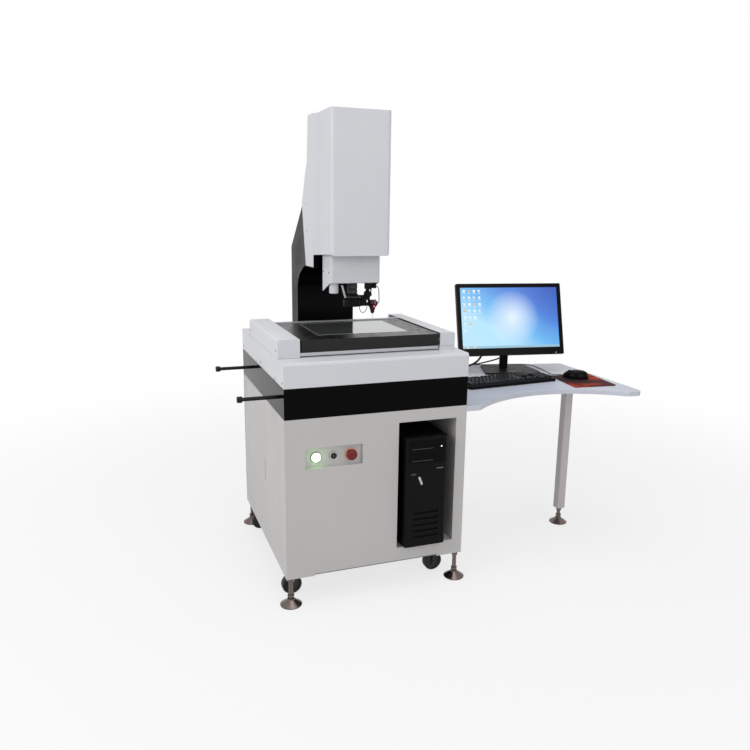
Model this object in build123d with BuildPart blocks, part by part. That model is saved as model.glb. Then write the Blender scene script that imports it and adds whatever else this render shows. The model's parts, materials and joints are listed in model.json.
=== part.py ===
from build123d import *
from math import atan2, cos, degrees, pi, radians, sin, tan
import os

os.makedirs("parts", exist_ok=True)

# Video measuring machine on its cabinet, with a desk wing, computer and screen.
# Sizes are millimetres. While a piece is drawn, X is 0 on the machine's centre line, Y is 0
# on the cabinet's front and Z is 0 on the floor. keep() moves it into the part's own frame.

# Cabinet
cabinet_width = 700.0
cabinet_depth = 795.0
cabinet_height = 599.0
floor_gap = 108.0
sheet = 3.0
frame_tube = 35.0
plinth_height = 60.0
door_depth = 14.0
door_front = 345.0
door_gap = 1.0
door_swing_room = 3.5
hinge_pin_radius = 3.0
running_fit = 0.05
slide_fit = 0.3

# Computer niche and computer
niche_left = 76.0
niche_width = 232.0
niche_height = 494.0
niche_depth = 430.0
pc_width = 166.0
pc_height = 430.0
pc_rear_gap = 60.0
pc_proud = 30.0
pc_bezel_depth = 28.0
pc_foot = 9.0
pc_side_gap = 20.0

# Control recess
recess_centre = (-170.0, 559.5)
recess_width = 213.0
recess_height = 75.0
recess_depth = 14.0
lamp_radius = 16.0
start_radius = 13.0
estop_radius = 20.0
button_pitch = 65.0
start_travel = 4.0
estop_travel = 6.0

# Levelling feet and castors
foot_inset_x = 19.0
foot_inset_y = 17.0
pad_radius = 40.0
pad_height = 26.0
stem_radius = 8.0
stem_length = 38.0
castor_inset_x = 60.0
castor_inset_y = 96.0
castor_radius = 37.5
castor_width = 28.0
castor_trail = 20.0
castor_hover = 3.0
castor_pin_radius = 6.0
castor_axle_radius = 5.0
castor_plate = 5.0

# Granite base, lifting bars and base cover
granite_height = 111.0
granite_edge = 1.5
bar_radius = 7.0
bar_out = 122.0
bar_knob_radius = 11.5
bar_knob_length = 18.0
bar_grip = 50.0
bar_front = 120.0
bar_rear = 650.0
cover_height = 88.0
cover_sheet = 2.0
cover_edge = 12.0

# Stage
table_width = 530.0
table_depth = 405.0
table_front = 90.0
table_height = 45.0
table_plate = 20.0
table_apron = 12.0
table_gap = 17.0
glass_width = 350.0
glass_depth = 280.0
glass_thick = 8.0
hole_spread = 412.0
hole_reach = 244.0
optical_y = 322.0
x_rail_front = 150.0
x_rail_rear = 470.0
x_screw_y = 120.0
saddle_plate = 12.0
saddle_lift = 4.0
x_travel = 55.0
y_travel = 90.0
fairing_front = 86.0
fairing_length = 549.0
fairing_wall = 1.5
left_fairing_width = 80.0
right_fairing_inset = 18.0
fairing_over_table = 4.0
y_rail_spacing = 300.0
y_rail_width = 20.0
y_rail_height = 18.0
x_rail_width = 15.0
x_rail_height = 13.0
screw_radius = 8.0
small_screw_radius = 6.0
motor_size = 57.0
motor_length = 80.0

# Column and head
column_width = 252.0
column_front = 690.0
column_knee = 1098.0
column_arm_front = 400.0
column_arm_under = 1193.0
column_arm_top = 1655.0
column_arm_back = 470.0
column_back_top = 1258.0
cover_width = 232.0
cover_rear_width = 262.0
cover_front = 221.0
cover_top = 1768.0
cover_bottom = 1250.0
cover_rear_bottom = 1196.0
cover_corner = 15.0
cover_screw_y = 514.0
shroud_width = 198.0
shroud_front = 279.0
shroud_bottom = 1146.0
shroud_top = 1440.0
z_down = 30.0
z_up = 170.0
z_rail_spacing = 110.0
lens_radius = 18.0
lens_bottom = 1072.0
ring_radius = 36.0
ring_bottom = 1053.0
ring_top = 1085.0
camera_size = 44.0
probe_x = 84.0
probe_z = 1060.0
probe_radius = 15.0
stylus_tip = 1003.0
stylus_ball = 2.0

# Desk wing
desk_width = 820.0
desk_top_z = 700.0
desk_thick = 18.0
desk_corner = 30.0
hollow_depth = 134.0
hollow_left = 410.0
hollow_end = 75.0
desk_depth_left = 767.0
desk_depth_right = 594.0
leg_x = 1028.0
leg_y = 324.0
leg_size = 40.0
leg_gap = 75.0

# Screen, keyboard and mouse
monitor_centre = (825.0, 510.0, 943.0)
monitor_yaw = -8.5
monitor_tilt = 16.6
monitor_width = 506.0
monitor_height = 330.0
monitor_thick = 18.0
bezel_side = 19.0
bezel_top = 18.5
bezel_bottom = 34.0
keyboard_centre = (700.0, 324.0)
keyboard_yaw = 4.6
keyboard_width = 440.0
keyboard_depth = 150.0
mouse_centre = (1040.0, 290.0)
mouse_heading = 139.0
mouse_length = 114.0
mouse_width = 64.0
mouse_height = 36.0
mouse_reach = 50.0
mouse_cord_up = 8.0
mouse_cord_width = 3.5
pad_centre = (1040.0, 239.0)
pad_yaw = -6.0
mouse_pad_width = 195.0
mouse_pad_depth = 225.0
mouse_pad_thick = 3.0

# Levels and planes worked out from the sizes above
half_width = cabinet_width / 2
cabinet_top = floor_gap + cabinet_height
granite_top = cabinet_top + granite_height
ledge_top = granite_top + cover_height
table_bottom = ledge_top + table_gap
table_top = table_bottom + table_height
fairing_top = table_top + fairing_over_table
niche_floor = floor_gap + plinth_height
pc_depth = niche_depth + pc_proud - pc_rear_gap
right_side = half_width - right_fairing_inset
foot_x = half_width - foot_inset_x
castor_x = half_width - castor_inset_x
desk_under = desk_top_z - desk_thick
desk_end = half_width + desk_width
hollow_right = desk_end - hollow_end

# The part's own origin is the middle of the footprint, on the floor
x_low = -half_width - bar_out - bar_knob_length
x_high = desk_end
y_low = min(-pc_proud, foot_inset_y - pad_radius)
y_high = cabinet_depth - foot_inset_y + pad_radius
to_part_frame = Location((-(x_low + x_high) / 2, -(y_low + y_high) / 2, 0))


def keep(piece, label):
    """Move a finished piece into the part's frame, name it and write it."""
    piece.part = piece.part.moved(to_part_frame)
    piece.part.label = label
    export_step(piece.part, f"parts/{label}.step")


def front(y):
    """The X-Z plane at y. A sketch on it grows towards the front."""
    return Plane.XZ.offset(-y)


def side(x):
    """The Y-Z plane at x. A sketch on it grows to the right."""
    return Plane.YZ.offset(x)


def level(z):
    """The X-Y plane at z. A sketch on it grows upwards."""
    return Plane.XY.offset(z)


def upright(x, y):
    """The X-Z plane through a vertical axis, for turned pieces."""
    return Plane(origin=(x, y, 0), x_dir=(1, 0, 0), z_dir=(0, -1, 0))


def block(x0, x1, y0, y1, z0, z1, mode=Mode.ADD):
    """A plain block between six planes, in the part being built."""
    with Locations(((x0 + x1) / 2, (y0 + y1) / 2, (z0 + z1) / 2)):
        Box(x1 - x0, y1 - y0, z1 - z0, mode=mode)


def post(x, y, z0, z1, radius, mode=Mode.ADD):
    """A plain upright cylinder in the part being built."""
    with Locations((x, y, (z0 + z1) / 2)):
        Cylinder(radius, z1 - z0, mode=mode)


def rod_x(x0, x1, y, z, radius, mode=Mode.ADD):
    """A plain cylinder along X in the part being built."""
    with Locations(((x0 + x1) / 2, y, z)):
        Cylinder(radius, x1 - x0, rotation=(0, 90, 0), mode=mode)


def rod_y(x, y0, y1, z, radius, mode=Mode.ADD):
    """A plain cylinder along Y in the part being built."""
    with Locations((x, (y0 + y1) / 2, z)):
        Cylinder(radius, y1 - y0, rotation=(90, 0, 0), mode=mode)


# Cabinet: a tube frame that carries the granite, the feet and the castors
ring_low = floor_gap + sheet
ring_high = cabinet_top - sheet
left_face = -half_width + door_depth + door_swing_room
right_face = half_width - sheet
back_face = cabinet_depth - sheet
with BuildPart() as cabinet_frame:
    for x0 in (left_face, right_face - frame_tube):
        for y0 in (sheet, back_face - frame_tube):
            block(x0, x0 + frame_tube, y0, y0 + frame_tube, ring_low, ring_high)
        for z0 in (ring_low, ring_high - frame_tube):
            block(x0, x0 + frame_tube, sheet, back_face, z0, z0 + frame_tube)
    for y0 in (sheet, back_face - frame_tube):
        for z0 in (ring_low, ring_high - frame_tube):
            block(left_face, right_face, y0, y0 + frame_tube, z0, z0 + frame_tube)
    block(left_face, left_face + frame_tube, door_front - frame_tube, door_front, ring_low, ring_high)
    for x_side in (-1, 1):
        for y0, foot_y, castor_y in (
            (sheet, foot_inset_y, castor_inset_y),
            (back_face - 2 * frame_tube, cabinet_depth - foot_inset_y, cabinet_depth - castor_inset_y),
        ):
            outer = x_side * (half_width - sheet)
            inner = x_side * (half_width - sheet - 2 * frame_tube)
            block(min(outer, inner), max(outer, inner), y0, y0 + 2 * frame_tube, ring_low, ring_low + frame_tube)
            post(x_side * foot_x, foot_y, ring_low, ring_low + frame_tube, stem_radius + running_fit, Mode.SUBTRACT)
            plate_half = castor_inset_x - sheet
            block(x_side * castor_x - plate_half, x_side * castor_x + plate_half, castor_y - plate_half,
                  castor_y + plate_half, ring_low - castor_plate, ring_low)
            post(x_side * castor_x, castor_y, ring_low - castor_plate - 11, ring_low, castor_pin_radius)
keep(cabinet_frame, "cabinet_frame")

# Cabinet: the welded sheet shell with its computer niche, control recess and desk arms
niche_right = niche_left + niche_width
recess_x, recess_z = recess_centre
door_back = cabinet_depth - sheet - 4.5
door_top = cabinet_top - sheet - door_gap
hinge_x = -half_width + door_depth / 2
hinge_y = door_back - 9.5
floor_under = niche_floor - sheet
with BuildPart() as cabinet_shell:
    block(-half_width, half_width, 0, cabinet_depth, floor_gap, cabinet_top)
    block(-half_width + sheet, half_width - sheet, sheet, cabinet_depth - sheet, niche_floor,
          cabinet_top - sheet, Mode.SUBTRACT)
    block(-half_width + sheet, half_width - sheet, sheet, cabinet_depth - sheet, floor_gap,
          floor_under, Mode.SUBTRACT)
    block(-half_width, -half_width + sheet, door_front, door_back + 3, niche_floor,
          cabinet_top - sheet, Mode.SUBTRACT)
    block(-half_width + 105, half_width - 105, 0, sheet, floor_gap, floor_gap + 8, Mode.SUBTRACT)
    block(niche_left - sheet, niche_right + sheet, sheet, niche_depth + sheet, niche_floor,
          niche_floor + niche_height + sheet)
    block(niche_left, niche_right, 0, niche_depth, niche_floor, niche_floor + niche_height, Mode.SUBTRACT)
    block(recess_x - recess_width / 2 - sheet, recess_x + recess_width / 2 + sheet, sheet,
          recess_depth + sheet, recess_z - recess_height / 2 - sheet, recess_z + recess_height / 2 + sheet)
    block(recess_x - recess_width / 2, recess_x + recess_width / 2, 0, recess_depth,
          recess_z - recess_height / 2, recess_z + recess_height / 2, Mode.SUBTRACT)
    for offset, radius in ((-button_pitch, lamp_radius - 3), (0, start_radius - 2), (button_pitch, 11)):
        rod_y(recess_x + offset, recess_depth, recess_depth + sheet, recess_z, radius + slide_fit, Mode.SUBTRACT)
    for z0 in (floor_under, cabinet_top - sheet):
        post(hinge_x, hinge_y, z0, z0 + sheet, hinge_pin_radius + running_fit, Mode.SUBTRACT)
    for corner_x in (-1, 1):
        for corner_y in (foot_inset_y, cabinet_depth - foot_inset_y):
            post(corner_x * foot_x, corner_y, floor_under, niche_floor, stem_radius + 2, Mode.SUBTRACT)
    for x0 in (left_face, right_face - frame_tube):
        for y0 in (sheet, back_face - frame_tube):
            block(x0, x0 + frame_tube, y0, y0 + frame_tube, floor_under, niche_floor, Mode.SUBTRACT)
    block(left_face, left_face + frame_tube, door_front - frame_tube, door_front, floor_under, niche_floor,
          Mode.SUBTRACT)
    for arm_y in (210, 600):
        block(half_width, half_width + 260, arm_y - 12.5, arm_y + 12.5, desk_under - 25, desk_under)
        block(half_width, half_width + 4, arm_y - 35, arm_y + 35, desk_under - 90, desk_under)
keep(cabinet_shell, "cabinet_shell")

# Side door: a folded pan on two pins, with a finger slot in its front edge
door_low = niche_floor + door_gap
with BuildPart() as side_door:
    block(-half_width, -half_width + door_depth, door_front + 1.5, door_back - 3, door_low, door_top)
    block(-half_width + sheet - 1, -half_width + door_depth, door_front + 3.5, door_back - 5,
          door_low + 2, door_top - 2, Mode.SUBTRACT)
    block(-half_width, -half_width + sheet - 1, door_front + 1.5, door_front + 9.5, 367, 456, Mode.SUBTRACT)
    block(-half_width + 2, -half_width + door_depth, door_front + 1.5, door_front + 12, 360, 463)
    post(hinge_x, hinge_y, door_low - door_gap - 2.5, door_low + 12, hinge_pin_radius)
    post(hinge_x, hinge_y, door_top - 12, door_top + door_gap + 2.5, hinge_pin_radius)
    post(hinge_x, hinge_y, door_low, door_low + 12, hinge_pin_radius + 2.5)
    post(hinge_x, hinge_y, door_top - 12, door_top, hinge_pin_radius + 2.5)
keep(side_door, "side_door")

# Motion controller in the bay behind the door, with cooling fins
with BuildPart() as controller:
    block(-270, -30, 400, 700, niche_floor, niche_floor + 180)
    for fin in range(9):
        block(-262 + 26 * fin, -250 + 26 * fin, 400, 700, niche_floor + 168, niche_floor + 180, Mode.SUBTRACT)
    chamfer(controller.edges().filter_by(Axis.Z).group_by(Axis.X)[0], 4)
keep(controller, "motion_controller")


# Levelling feet: a steel cone pad on a threaded stem
def levelling_foot(x, y, stem_top, label):
    with BuildPart() as foot:
        with BuildSketch(upright(x, y)):
            with BuildLine():
                Polyline((0, 0), (pad_radius - 1, 0), (pad_radius, 1.5), (pad_radius, 4), (14, pad_height - 4))
                Line((14, pad_height - 4), (13, pad_height))
                Polyline((13, pad_height), (stem_radius, pad_height), (stem_radius, stem_top), (0, stem_top), (0, 0))
            make_face()
        revolve(axis=Axis((x, y, 0), (0, 0, 1)))
        for nut_low in (pad_height + 6, stem_top - stem_length - 14):
            with BuildSketch(level(nut_low)):
                with Locations((x, y)):
                    RegularPolygon(13, 6)
            extrude(amount=9)
    keep(foot, label)


foot_spots = (
    ("front_left", -foot_x, foot_inset_y),
    ("front_right", foot_x, foot_inset_y),
    ("rear_left", -foot_x, cabinet_depth - foot_inset_y),
    ("rear_right", foot_x, cabinet_depth - foot_inset_y),
)
for place, x, y in foot_spots:
    levelling_foot(x, y, floor_gap + stem_length, f"foot_{place}")


# Castors: a fork that swivels on the frame's pin, and a wheel on its axle
def castor(x, y, place):
    axle_z = castor_hover + castor_radius
    crown_top = ring_low - castor_plate - 0.5
    leg = castor_width / 2 + 2
    with BuildPart() as fork:
        post(x, y, crown_top - 9, crown_top, 21)
        post(x, y, crown_top - 9, crown_top, castor_pin_radius + running_fit, Mode.SUBTRACT)
        for leg_y in (y - leg - 3, y + leg):
            with BuildSketch(front(leg_y + 3)):
                with BuildLine():
                    Polyline((x - 18, crown_top - 3), (x + 18, crown_top - 3), (x - castor_trail + 9, axle_z - 9),
                             (x - castor_trail - 9, axle_z - 9), (x - 18, crown_top - 3))
                make_face()
            extrude(amount=3)
        block(x - 18, x + 14, y - leg - 3, y + leg + 3, crown_top - 12, crown_top - 9)
        rod_y(x - castor_trail, y - leg - 6, y + leg + 6, axle_z, castor_axle_radius)
        post(x, y, crown_top - 12, crown_top - 2, castor_pin_radius + running_fit, Mode.SUBTRACT)
    keep(fork, f"castor_fork_{place}")
    with BuildPart() as wheel:
        with BuildSketch(Plane(origin=(x - castor_trail, y, axle_z), x_dir=(0, 1, 0), z_dir=(1, 0, 0))):
            half = castor_width / 2
            with BuildLine():
                Polyline((-half, castor_axle_radius + running_fit), (half, castor_axle_radius + running_fit),
                         (half, 12), (half - 4, 15), (half - 4, castor_radius - 9), (half, castor_radius - 6),
                         (half - 4, castor_radius), (4 - half, castor_radius), (-half, castor_radius - 6),
                         (4 - half, castor_radius - 9), (4 - half, 15), (-half, 12),
                         (-half, castor_axle_radius + running_fit))
            make_face()
        revolve(axis=Axis((x - castor_trail, y, axle_z), (0, 1, 0)))
    keep(wheel, f"castor_wheel_{place}")


for place, x, y in foot_spots:
    castor_y = castor_inset_y if y < cabinet_depth / 2 else cabinet_depth - castor_inset_y
    castor(castor_x if x > 0 else -castor_x, castor_y, place)

# Controls in the recess: a lamp, a start button and an emergency stop, on the recess's back plate
plate_y = recess_depth
with BuildPart() as lamp:
    rod_y(recess_x - button_pitch, plate_y, plate_y + 22, recess_z, lamp_radius - 3)
    rod_y(recess_x - button_pitch, plate_y - 6, plate_y, recess_z, lamp_radius)
    rod_y(recess_x - button_pitch, plate_y - 12, plate_y - 6, recess_z, lamp_radius - 2)
    fillet(lamp.edges().filter_by(GeomType.CIRCLE).group_by(Axis.Y)[0], 4)
keep(lamp, "indicator_lamp")

with BuildPart() as start_button:
    rod_y(recess_x, plate_y - 10, plate_y + 18, recess_z, start_radius - 2)
    chamfer(start_button.edges().filter_by(GeomType.CIRCLE).group_by(Axis.Y)[0], 1.2)
keep(start_button, "start_button")

with BuildPart() as estop:
    rod_y(recess_x + button_pitch, plate_y - 12, plate_y + 24, recess_z, 11)
    rod_y(recess_x + button_pitch, plate_y - 24, plate_y - 12, recess_z, estop_radius)
    fillet(estop.edges().filter_by(GeomType.CIRCLE).group_by(Axis.Y)[0], 8)
keep(estop, "estop_button")

# Computer tower in the niche, standing a little proud of the cabinet
pc_left = niche_left + pc_side_gap
pc_right = pc_left + pc_width
pc_low = niche_floor + pc_foot
with BuildPart() as pc_case:
    block(pc_left, pc_right, pc_bezel_depth - pc_proud, pc_depth - pc_proud, pc_low, pc_low + pc_height)
    for foot_dx in (18, pc_width - 18):
        for foot_y in (30, pc_depth - pc_proud - 30):
            post(pc_left + foot_dx, foot_y, niche_floor, pc_low, 9)
    with BuildSketch(front(pc_depth - pc_proud)):
        with Locations((pc_left + pc_width / 2, pc_low + pc_height * 0.72)):
            Circle(42)
        for row in range(5):
            with Locations((pc_left + pc_width * 0.72, pc_low + 45 + 22 * row)):
                Rectangle(56, 12)
    extrude(amount=4, mode=Mode.SUBTRACT)
keep(pc_case, "pc_case")

with BuildPart() as pc_bezel:
    block(pc_left, pc_right, -pc_proud, pc_bezel_depth - pc_proud, pc_low, pc_low + pc_height)
    fillet(pc_bezel.edges().filter_by(Axis.Z).group_by(Axis.Y)[0], 10)
    with BuildSketch(front(-pc_proud + 3)):
        for drive_z in (pc_height - 32, pc_height - 78):
            with Locations((pc_left + pc_width / 2, pc_low + drive_z)):
                Rectangle(pc_width - 18, 40)
                Rectangle(pc_width - 21, 37, mode=Mode.SUBTRACT)
    extrude(amount=3, mode=Mode.SUBTRACT)
    with BuildSketch(front(-pc_proud + 5)):
        with Locations((pc_left + pc_width / 2, pc_low + 88)):
            for slot_row in range(5):
                with Locations((0, 24 * slot_row - 48)):
                    SlotOverall(pc_width * 0.62, 9)
    extrude(amount=5, mode=Mode.SUBTRACT)
keep(pc_bezel, "pc_bezel")

# Granite base with two sockets for the lifting bars on its left side
bar_z = cabinet_top + granite_height / 2
with BuildPart() as granite:
    block(-half_width, half_width, 0, cabinet_depth, cabinet_top, granite_top)
    chamfer(granite.edges(), granite_edge)
    for bar_y in (bar_front, bar_rear):
        rod_x(-half_width, -half_width + bar_grip + 5, bar_y, bar_z, bar_radius + running_fit, Mode.SUBTRACT)
keep(granite, "granite_base")

with BuildPart() as bars:
    for bar_y in (bar_front, bar_rear):
        rod_x(-half_width - bar_out, -half_width + bar_grip, bar_y, bar_z, bar_radius)
        rod_x(-half_width - bar_out - bar_knob_length, -half_width - bar_out, bar_y, bar_z, bar_knob_radius)
    knob_ends = bars.edges().filter_by(GeomType.CIRCLE).group_by(Axis.X)[0]
    chamfer(knob_ends, 2)
keep(bars, "lifting_bars")

# Base cover: a folded sheet over the granite, with a raised rest for the right fairing
neck_front = 230.0
neck_back = 390.0
neck_half = 180.0
rest_top = table_bottom - 1.5
with BuildPart() as base_cover:
    block(-half_width, half_width, 0, cabinet_depth, granite_top, ledge_top)
    fillet(base_cover.edges().filter_by(Axis.X).group_by(Axis.Y)[0].group_by(Axis.Z)[-1], cover_edge)
    block(right_side - (right_side - table_width / 2 - 6), right_side, fairing_front,
          fairing_front + fairing_length, ledge_top, rest_top)
    block(-half_width + cover_sheet, half_width - cover_sheet, cover_sheet, cabinet_depth - cover_sheet,
          granite_top, ledge_top - cover_edge, Mode.SUBTRACT)
    block(-half_width + cover_sheet, half_width - cover_sheet, cover_sheet + cover_edge,
          cabinet_depth - cover_sheet, granite_top, ledge_top - cover_sheet, Mode.SUBTRACT)
    block(table_width / 2 + 8, right_side - cover_sheet, fairing_front + 2, fairing_front + fairing_length - 2,
          ledge_top - cover_sheet, rest_top - cover_sheet, Mode.SUBTRACT)
    block(-neck_half - 6, neck_half + 6, neck_front - y_travel - 6, neck_back + y_travel + 6,
          ledge_top - cover_sheet, ledge_top, Mode.SUBTRACT)
    block(-column_width / 2 - 1, column_width / 2 + 1, column_front - 1, cabinet_depth, granite_top,
          ledge_top, Mode.SUBTRACT)
    for notch_y in (141, 481):
        block(-half_width, -half_width + cover_sheet, notch_y - 4, notch_y + 4, granite_top,
              granite_top + 13, Mode.SUBTRACT)
keep(base_cover, "base_cover")

# Y axis: two rails and the screw's bearings on the granite
y_rail_top = granite_top + y_rail_height
y_rail_front = 60.0
y_rail_back = 640.0
y_screw_z = granite_top + motor_size / 2 + 1.5
with BuildPart() as y_guides:
    for rail_x in (-y_rail_spacing / 2, y_rail_spacing / 2):
        with BuildSketch(front(y_rail_back)):
            with Locations((rail_x, granite_top + y_rail_height / 2)):
                Rectangle(y_rail_width, y_rail_height)
            for edge in (-1, 1):
                with Locations((rail_x + edge * y_rail_width / 2, granite_top + y_rail_height * 0.6)):
                    RegularPolygon(3, 4, mode=Mode.SUBTRACT)
        extrude(amount=y_rail_back - y_rail_front)
    for bearing_y in (y_rail_front, 590):
        block(-25, 25, bearing_y, bearing_y + 15, granite_top, y_screw_z + 18)
        rod_y(0, bearing_y, bearing_y + 15, y_screw_z, screw_radius + running_fit, Mode.SUBTRACT)
keep(y_guides, "y_guides")

with BuildPart() as y_screw:
    rod_y(0, y_rail_front, 606, y_screw_z, screw_radius)
keep(y_screw, "y_ballscrew")

# Saddle: runs on the Y rails, reaches up through the base cover and carries the X axis
saddle_low = y_screw_z + 18
saddle_high = saddle_low + 20
plate_low = ledge_top + saddle_lift
plate_high = plate_low + saddle_plate
plate_left = -half_width + 5
plate_right = table_width / 2 + 3
plate_front = table_front + 4
plate_back = 585.0
x_guide_half = table_width / 2 - 3
x_screw_z = plate_high + 13
fairing_back = fairing_front + fairing_length
beam_front = table_front + table_depth + 8
with BuildPart() as saddle:
    block(-neck_half, neck_half, 150, 470, saddle_low, saddle_high)
    block(-neck_half, neck_half, neck_front, neck_back, saddle_high, plate_low)
    block(plate_left, plate_right, plate_front, plate_back, plate_low, plate_high)
    for block_x in (-y_rail_spacing / 2, y_rail_spacing / 2):
        for block_y in (165, 395):
            block(block_x - 22, block_x + 22, block_y, block_y + 60, granite_top + 5, saddle_low)
            block(block_x - y_rail_width / 2 - slide_fit, block_x + y_rail_width / 2 + slide_fit, block_y,
                  block_y + 60, granite_top + 5, y_rail_top + slide_fit, Mode.SUBTRACT)
    block(-22, 22, 285, 325, granite_top + 6, saddle_low)
    rod_y(0, 285, 325, y_screw_z, screw_radius + slide_fit, Mode.SUBTRACT)
    block(-half_width + 10, right_side - 10, beam_front, beam_front + 20, rest_top + 2, fairing_top - fairing_wall)
    block(-half_width + 10, plate_right, beam_front, beam_front + 20, plate_high, rest_top + 2)
keep(saddle, "y_saddle")

# X axis on the saddle: rails, screw bearings, screw and a flat motor
with BuildPart() as x_guides:
    for rail_y in (x_rail_front, x_rail_rear):
        with BuildSketch(side(-x_guide_half)):
            with Locations((rail_y, plate_high + x_rail_height / 2)):
                Rectangle(x_rail_width, x_rail_height)
            for edge in (-1, 1):
                with Locations((rail_y + edge * x_rail_width / 2, plate_high + x_rail_height * 0.6)):
                    RegularPolygon(2.4, 4, mode=Mode.SUBTRACT)
        extrude(amount=2 * x_guide_half)
    for bearing_x in (-x_guide_half, x_guide_half - 12):
        block(bearing_x, bearing_x + 12, x_screw_y - 14, x_screw_y + 14, plate_high, plate_high + 23)
        rod_x(bearing_x, bearing_x + 12, x_screw_y, x_screw_z, small_screw_radius + running_fit, Mode.SUBTRACT)
keep(x_guides, "x_guides")

x_motor_thick = 24.0
x_motor_left = -half_width + fairing_wall + 2.5
with BuildPart() as x_screw:
    rod_x(x_motor_left + x_motor_thick, x_guide_half, x_screw_y, x_screw_z, small_screw_radius)
keep(x_screw, "x_ballscrew")

with BuildPart() as x_motor:
    block(x_motor_left, x_motor_left + x_motor_thick, x_screw_y - 20, x_screw_y + 22, plate_high, plate_high + 34)
    chamfer(x_motor.edges().filter_by(Axis.X), 4)
keep(x_motor, "x_motor")

# Table: a black top plate with front and back aprons, running on the X rails
table_half = table_width / 2
table_back = table_front + table_depth
plate_under = table_top - table_plate
glass_edge = 6.0
with BuildPart() as table:
    block(-table_half, table_half, table_front, table_back, plate_under, table_top)
    block(-table_half, table_half, table_front, table_front + table_apron, table_bottom, plate_under)
    block(-table_half, table_half, table_back - table_apron, table_back, table_bottom, plate_under)
    for rail_y in (x_rail_front, x_rail_rear):
        for block_x in (-150, 100):
            block(block_x, block_x + 50, rail_y - 12.5, rail_y + 12.5, plate_high + 3, plate_under)
            block(block_x, block_x + 50, rail_y - x_rail_width / 2 - slide_fit,
                  rail_y + x_rail_width / 2 + slide_fit, plate_high + 3, plate_high + x_rail_height + slide_fit,
                  Mode.SUBTRACT)
    block(100, 130, x_screw_y - 13, x_screw_y + 13, plate_high + 1, plate_under)
    rod_x(100, 130, x_screw_y, x_screw_z, small_screw_radius + slide_fit, Mode.SUBTRACT)
    block(-glass_width / 2 + glass_edge, glass_width / 2 - glass_edge, optical_y - glass_depth / 2 + glass_edge,
          optical_y + glass_depth / 2 - glass_edge, plate_under, table_top, Mode.SUBTRACT)
    block(-glass_width / 2 - slide_fit, glass_width / 2 + slide_fit, optical_y - glass_depth / 2 - slide_fit,
          optical_y + glass_depth / 2 + slide_fit, table_top - glass_thick, table_top, Mode.SUBTRACT)
    for hole_x in (-hole_spread / 2, hole_spread / 2, hole_spread / 2 + 26):
        for hole_y in (optical_y - hole_reach / 2, optical_y + hole_reach / 2):
            post(hole_x, hole_y, table_top - 12, table_top, 4, Mode.SUBTRACT)
    chamfer(table.edges().filter_by(Axis.Z).group_by(Axis.Y)[0], 1.5)
keep(table, "stage_table")

with BuildPart() as glass:
    block(-glass_width / 2, glass_width / 2, optical_y - glass_depth / 2, optical_y + glass_depth / 2,
          table_top - glass_thick, table_top)
keep(glass, "stage_glass")


# Fairings: hollow sheet covers at both ends of the saddle, open towards the table
def fairing(x_outer, x_inner, z_low, label):
    low, high = min(x_outer, x_inner), max(x_outer, x_inner)
    open_side = 1 if x_outer < x_inner else -1
    with BuildPart() as shell:
        block(low, high, fairing_front, fairing_back, z_low, fairing_top)
        crown = shell.edges().filter_by(Axis.Y).group_by(Axis.Z)[-1]
        fillet(crown.sort_by(Axis.X)[0 if open_side > 0 else -1], 9)
        fillet(shell.edges().filter_by(Axis.X).group_by(Axis.Z)[-1].sort_by(Axis.Y)[-1], 22)
        wall = fairing_wall
        cut_low = low + wall if open_side > 0 else low
        cut_high = high if open_side > 0 else high - wall
        block(cut_low, cut_high, fairing_front + wall, fairing_back - 24, z_low, fairing_top - 9, Mode.SUBTRACT)
        inner_low = low + 9 if open_side > 0 else low
        inner_high = high if open_side > 0 else high - 9
        block(inner_low, inner_high, fairing_front + wall, fairing_back - 24, z_low, fairing_top - wall, Mode.SUBTRACT)
    keep(shell, label)


fairing(-half_width, -half_width + left_fairing_width, ledge_top + 0.8, "left_fairing")
fairing(right_side, table_half + 6, rest_top + 0.8, "right_fairing")

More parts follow.
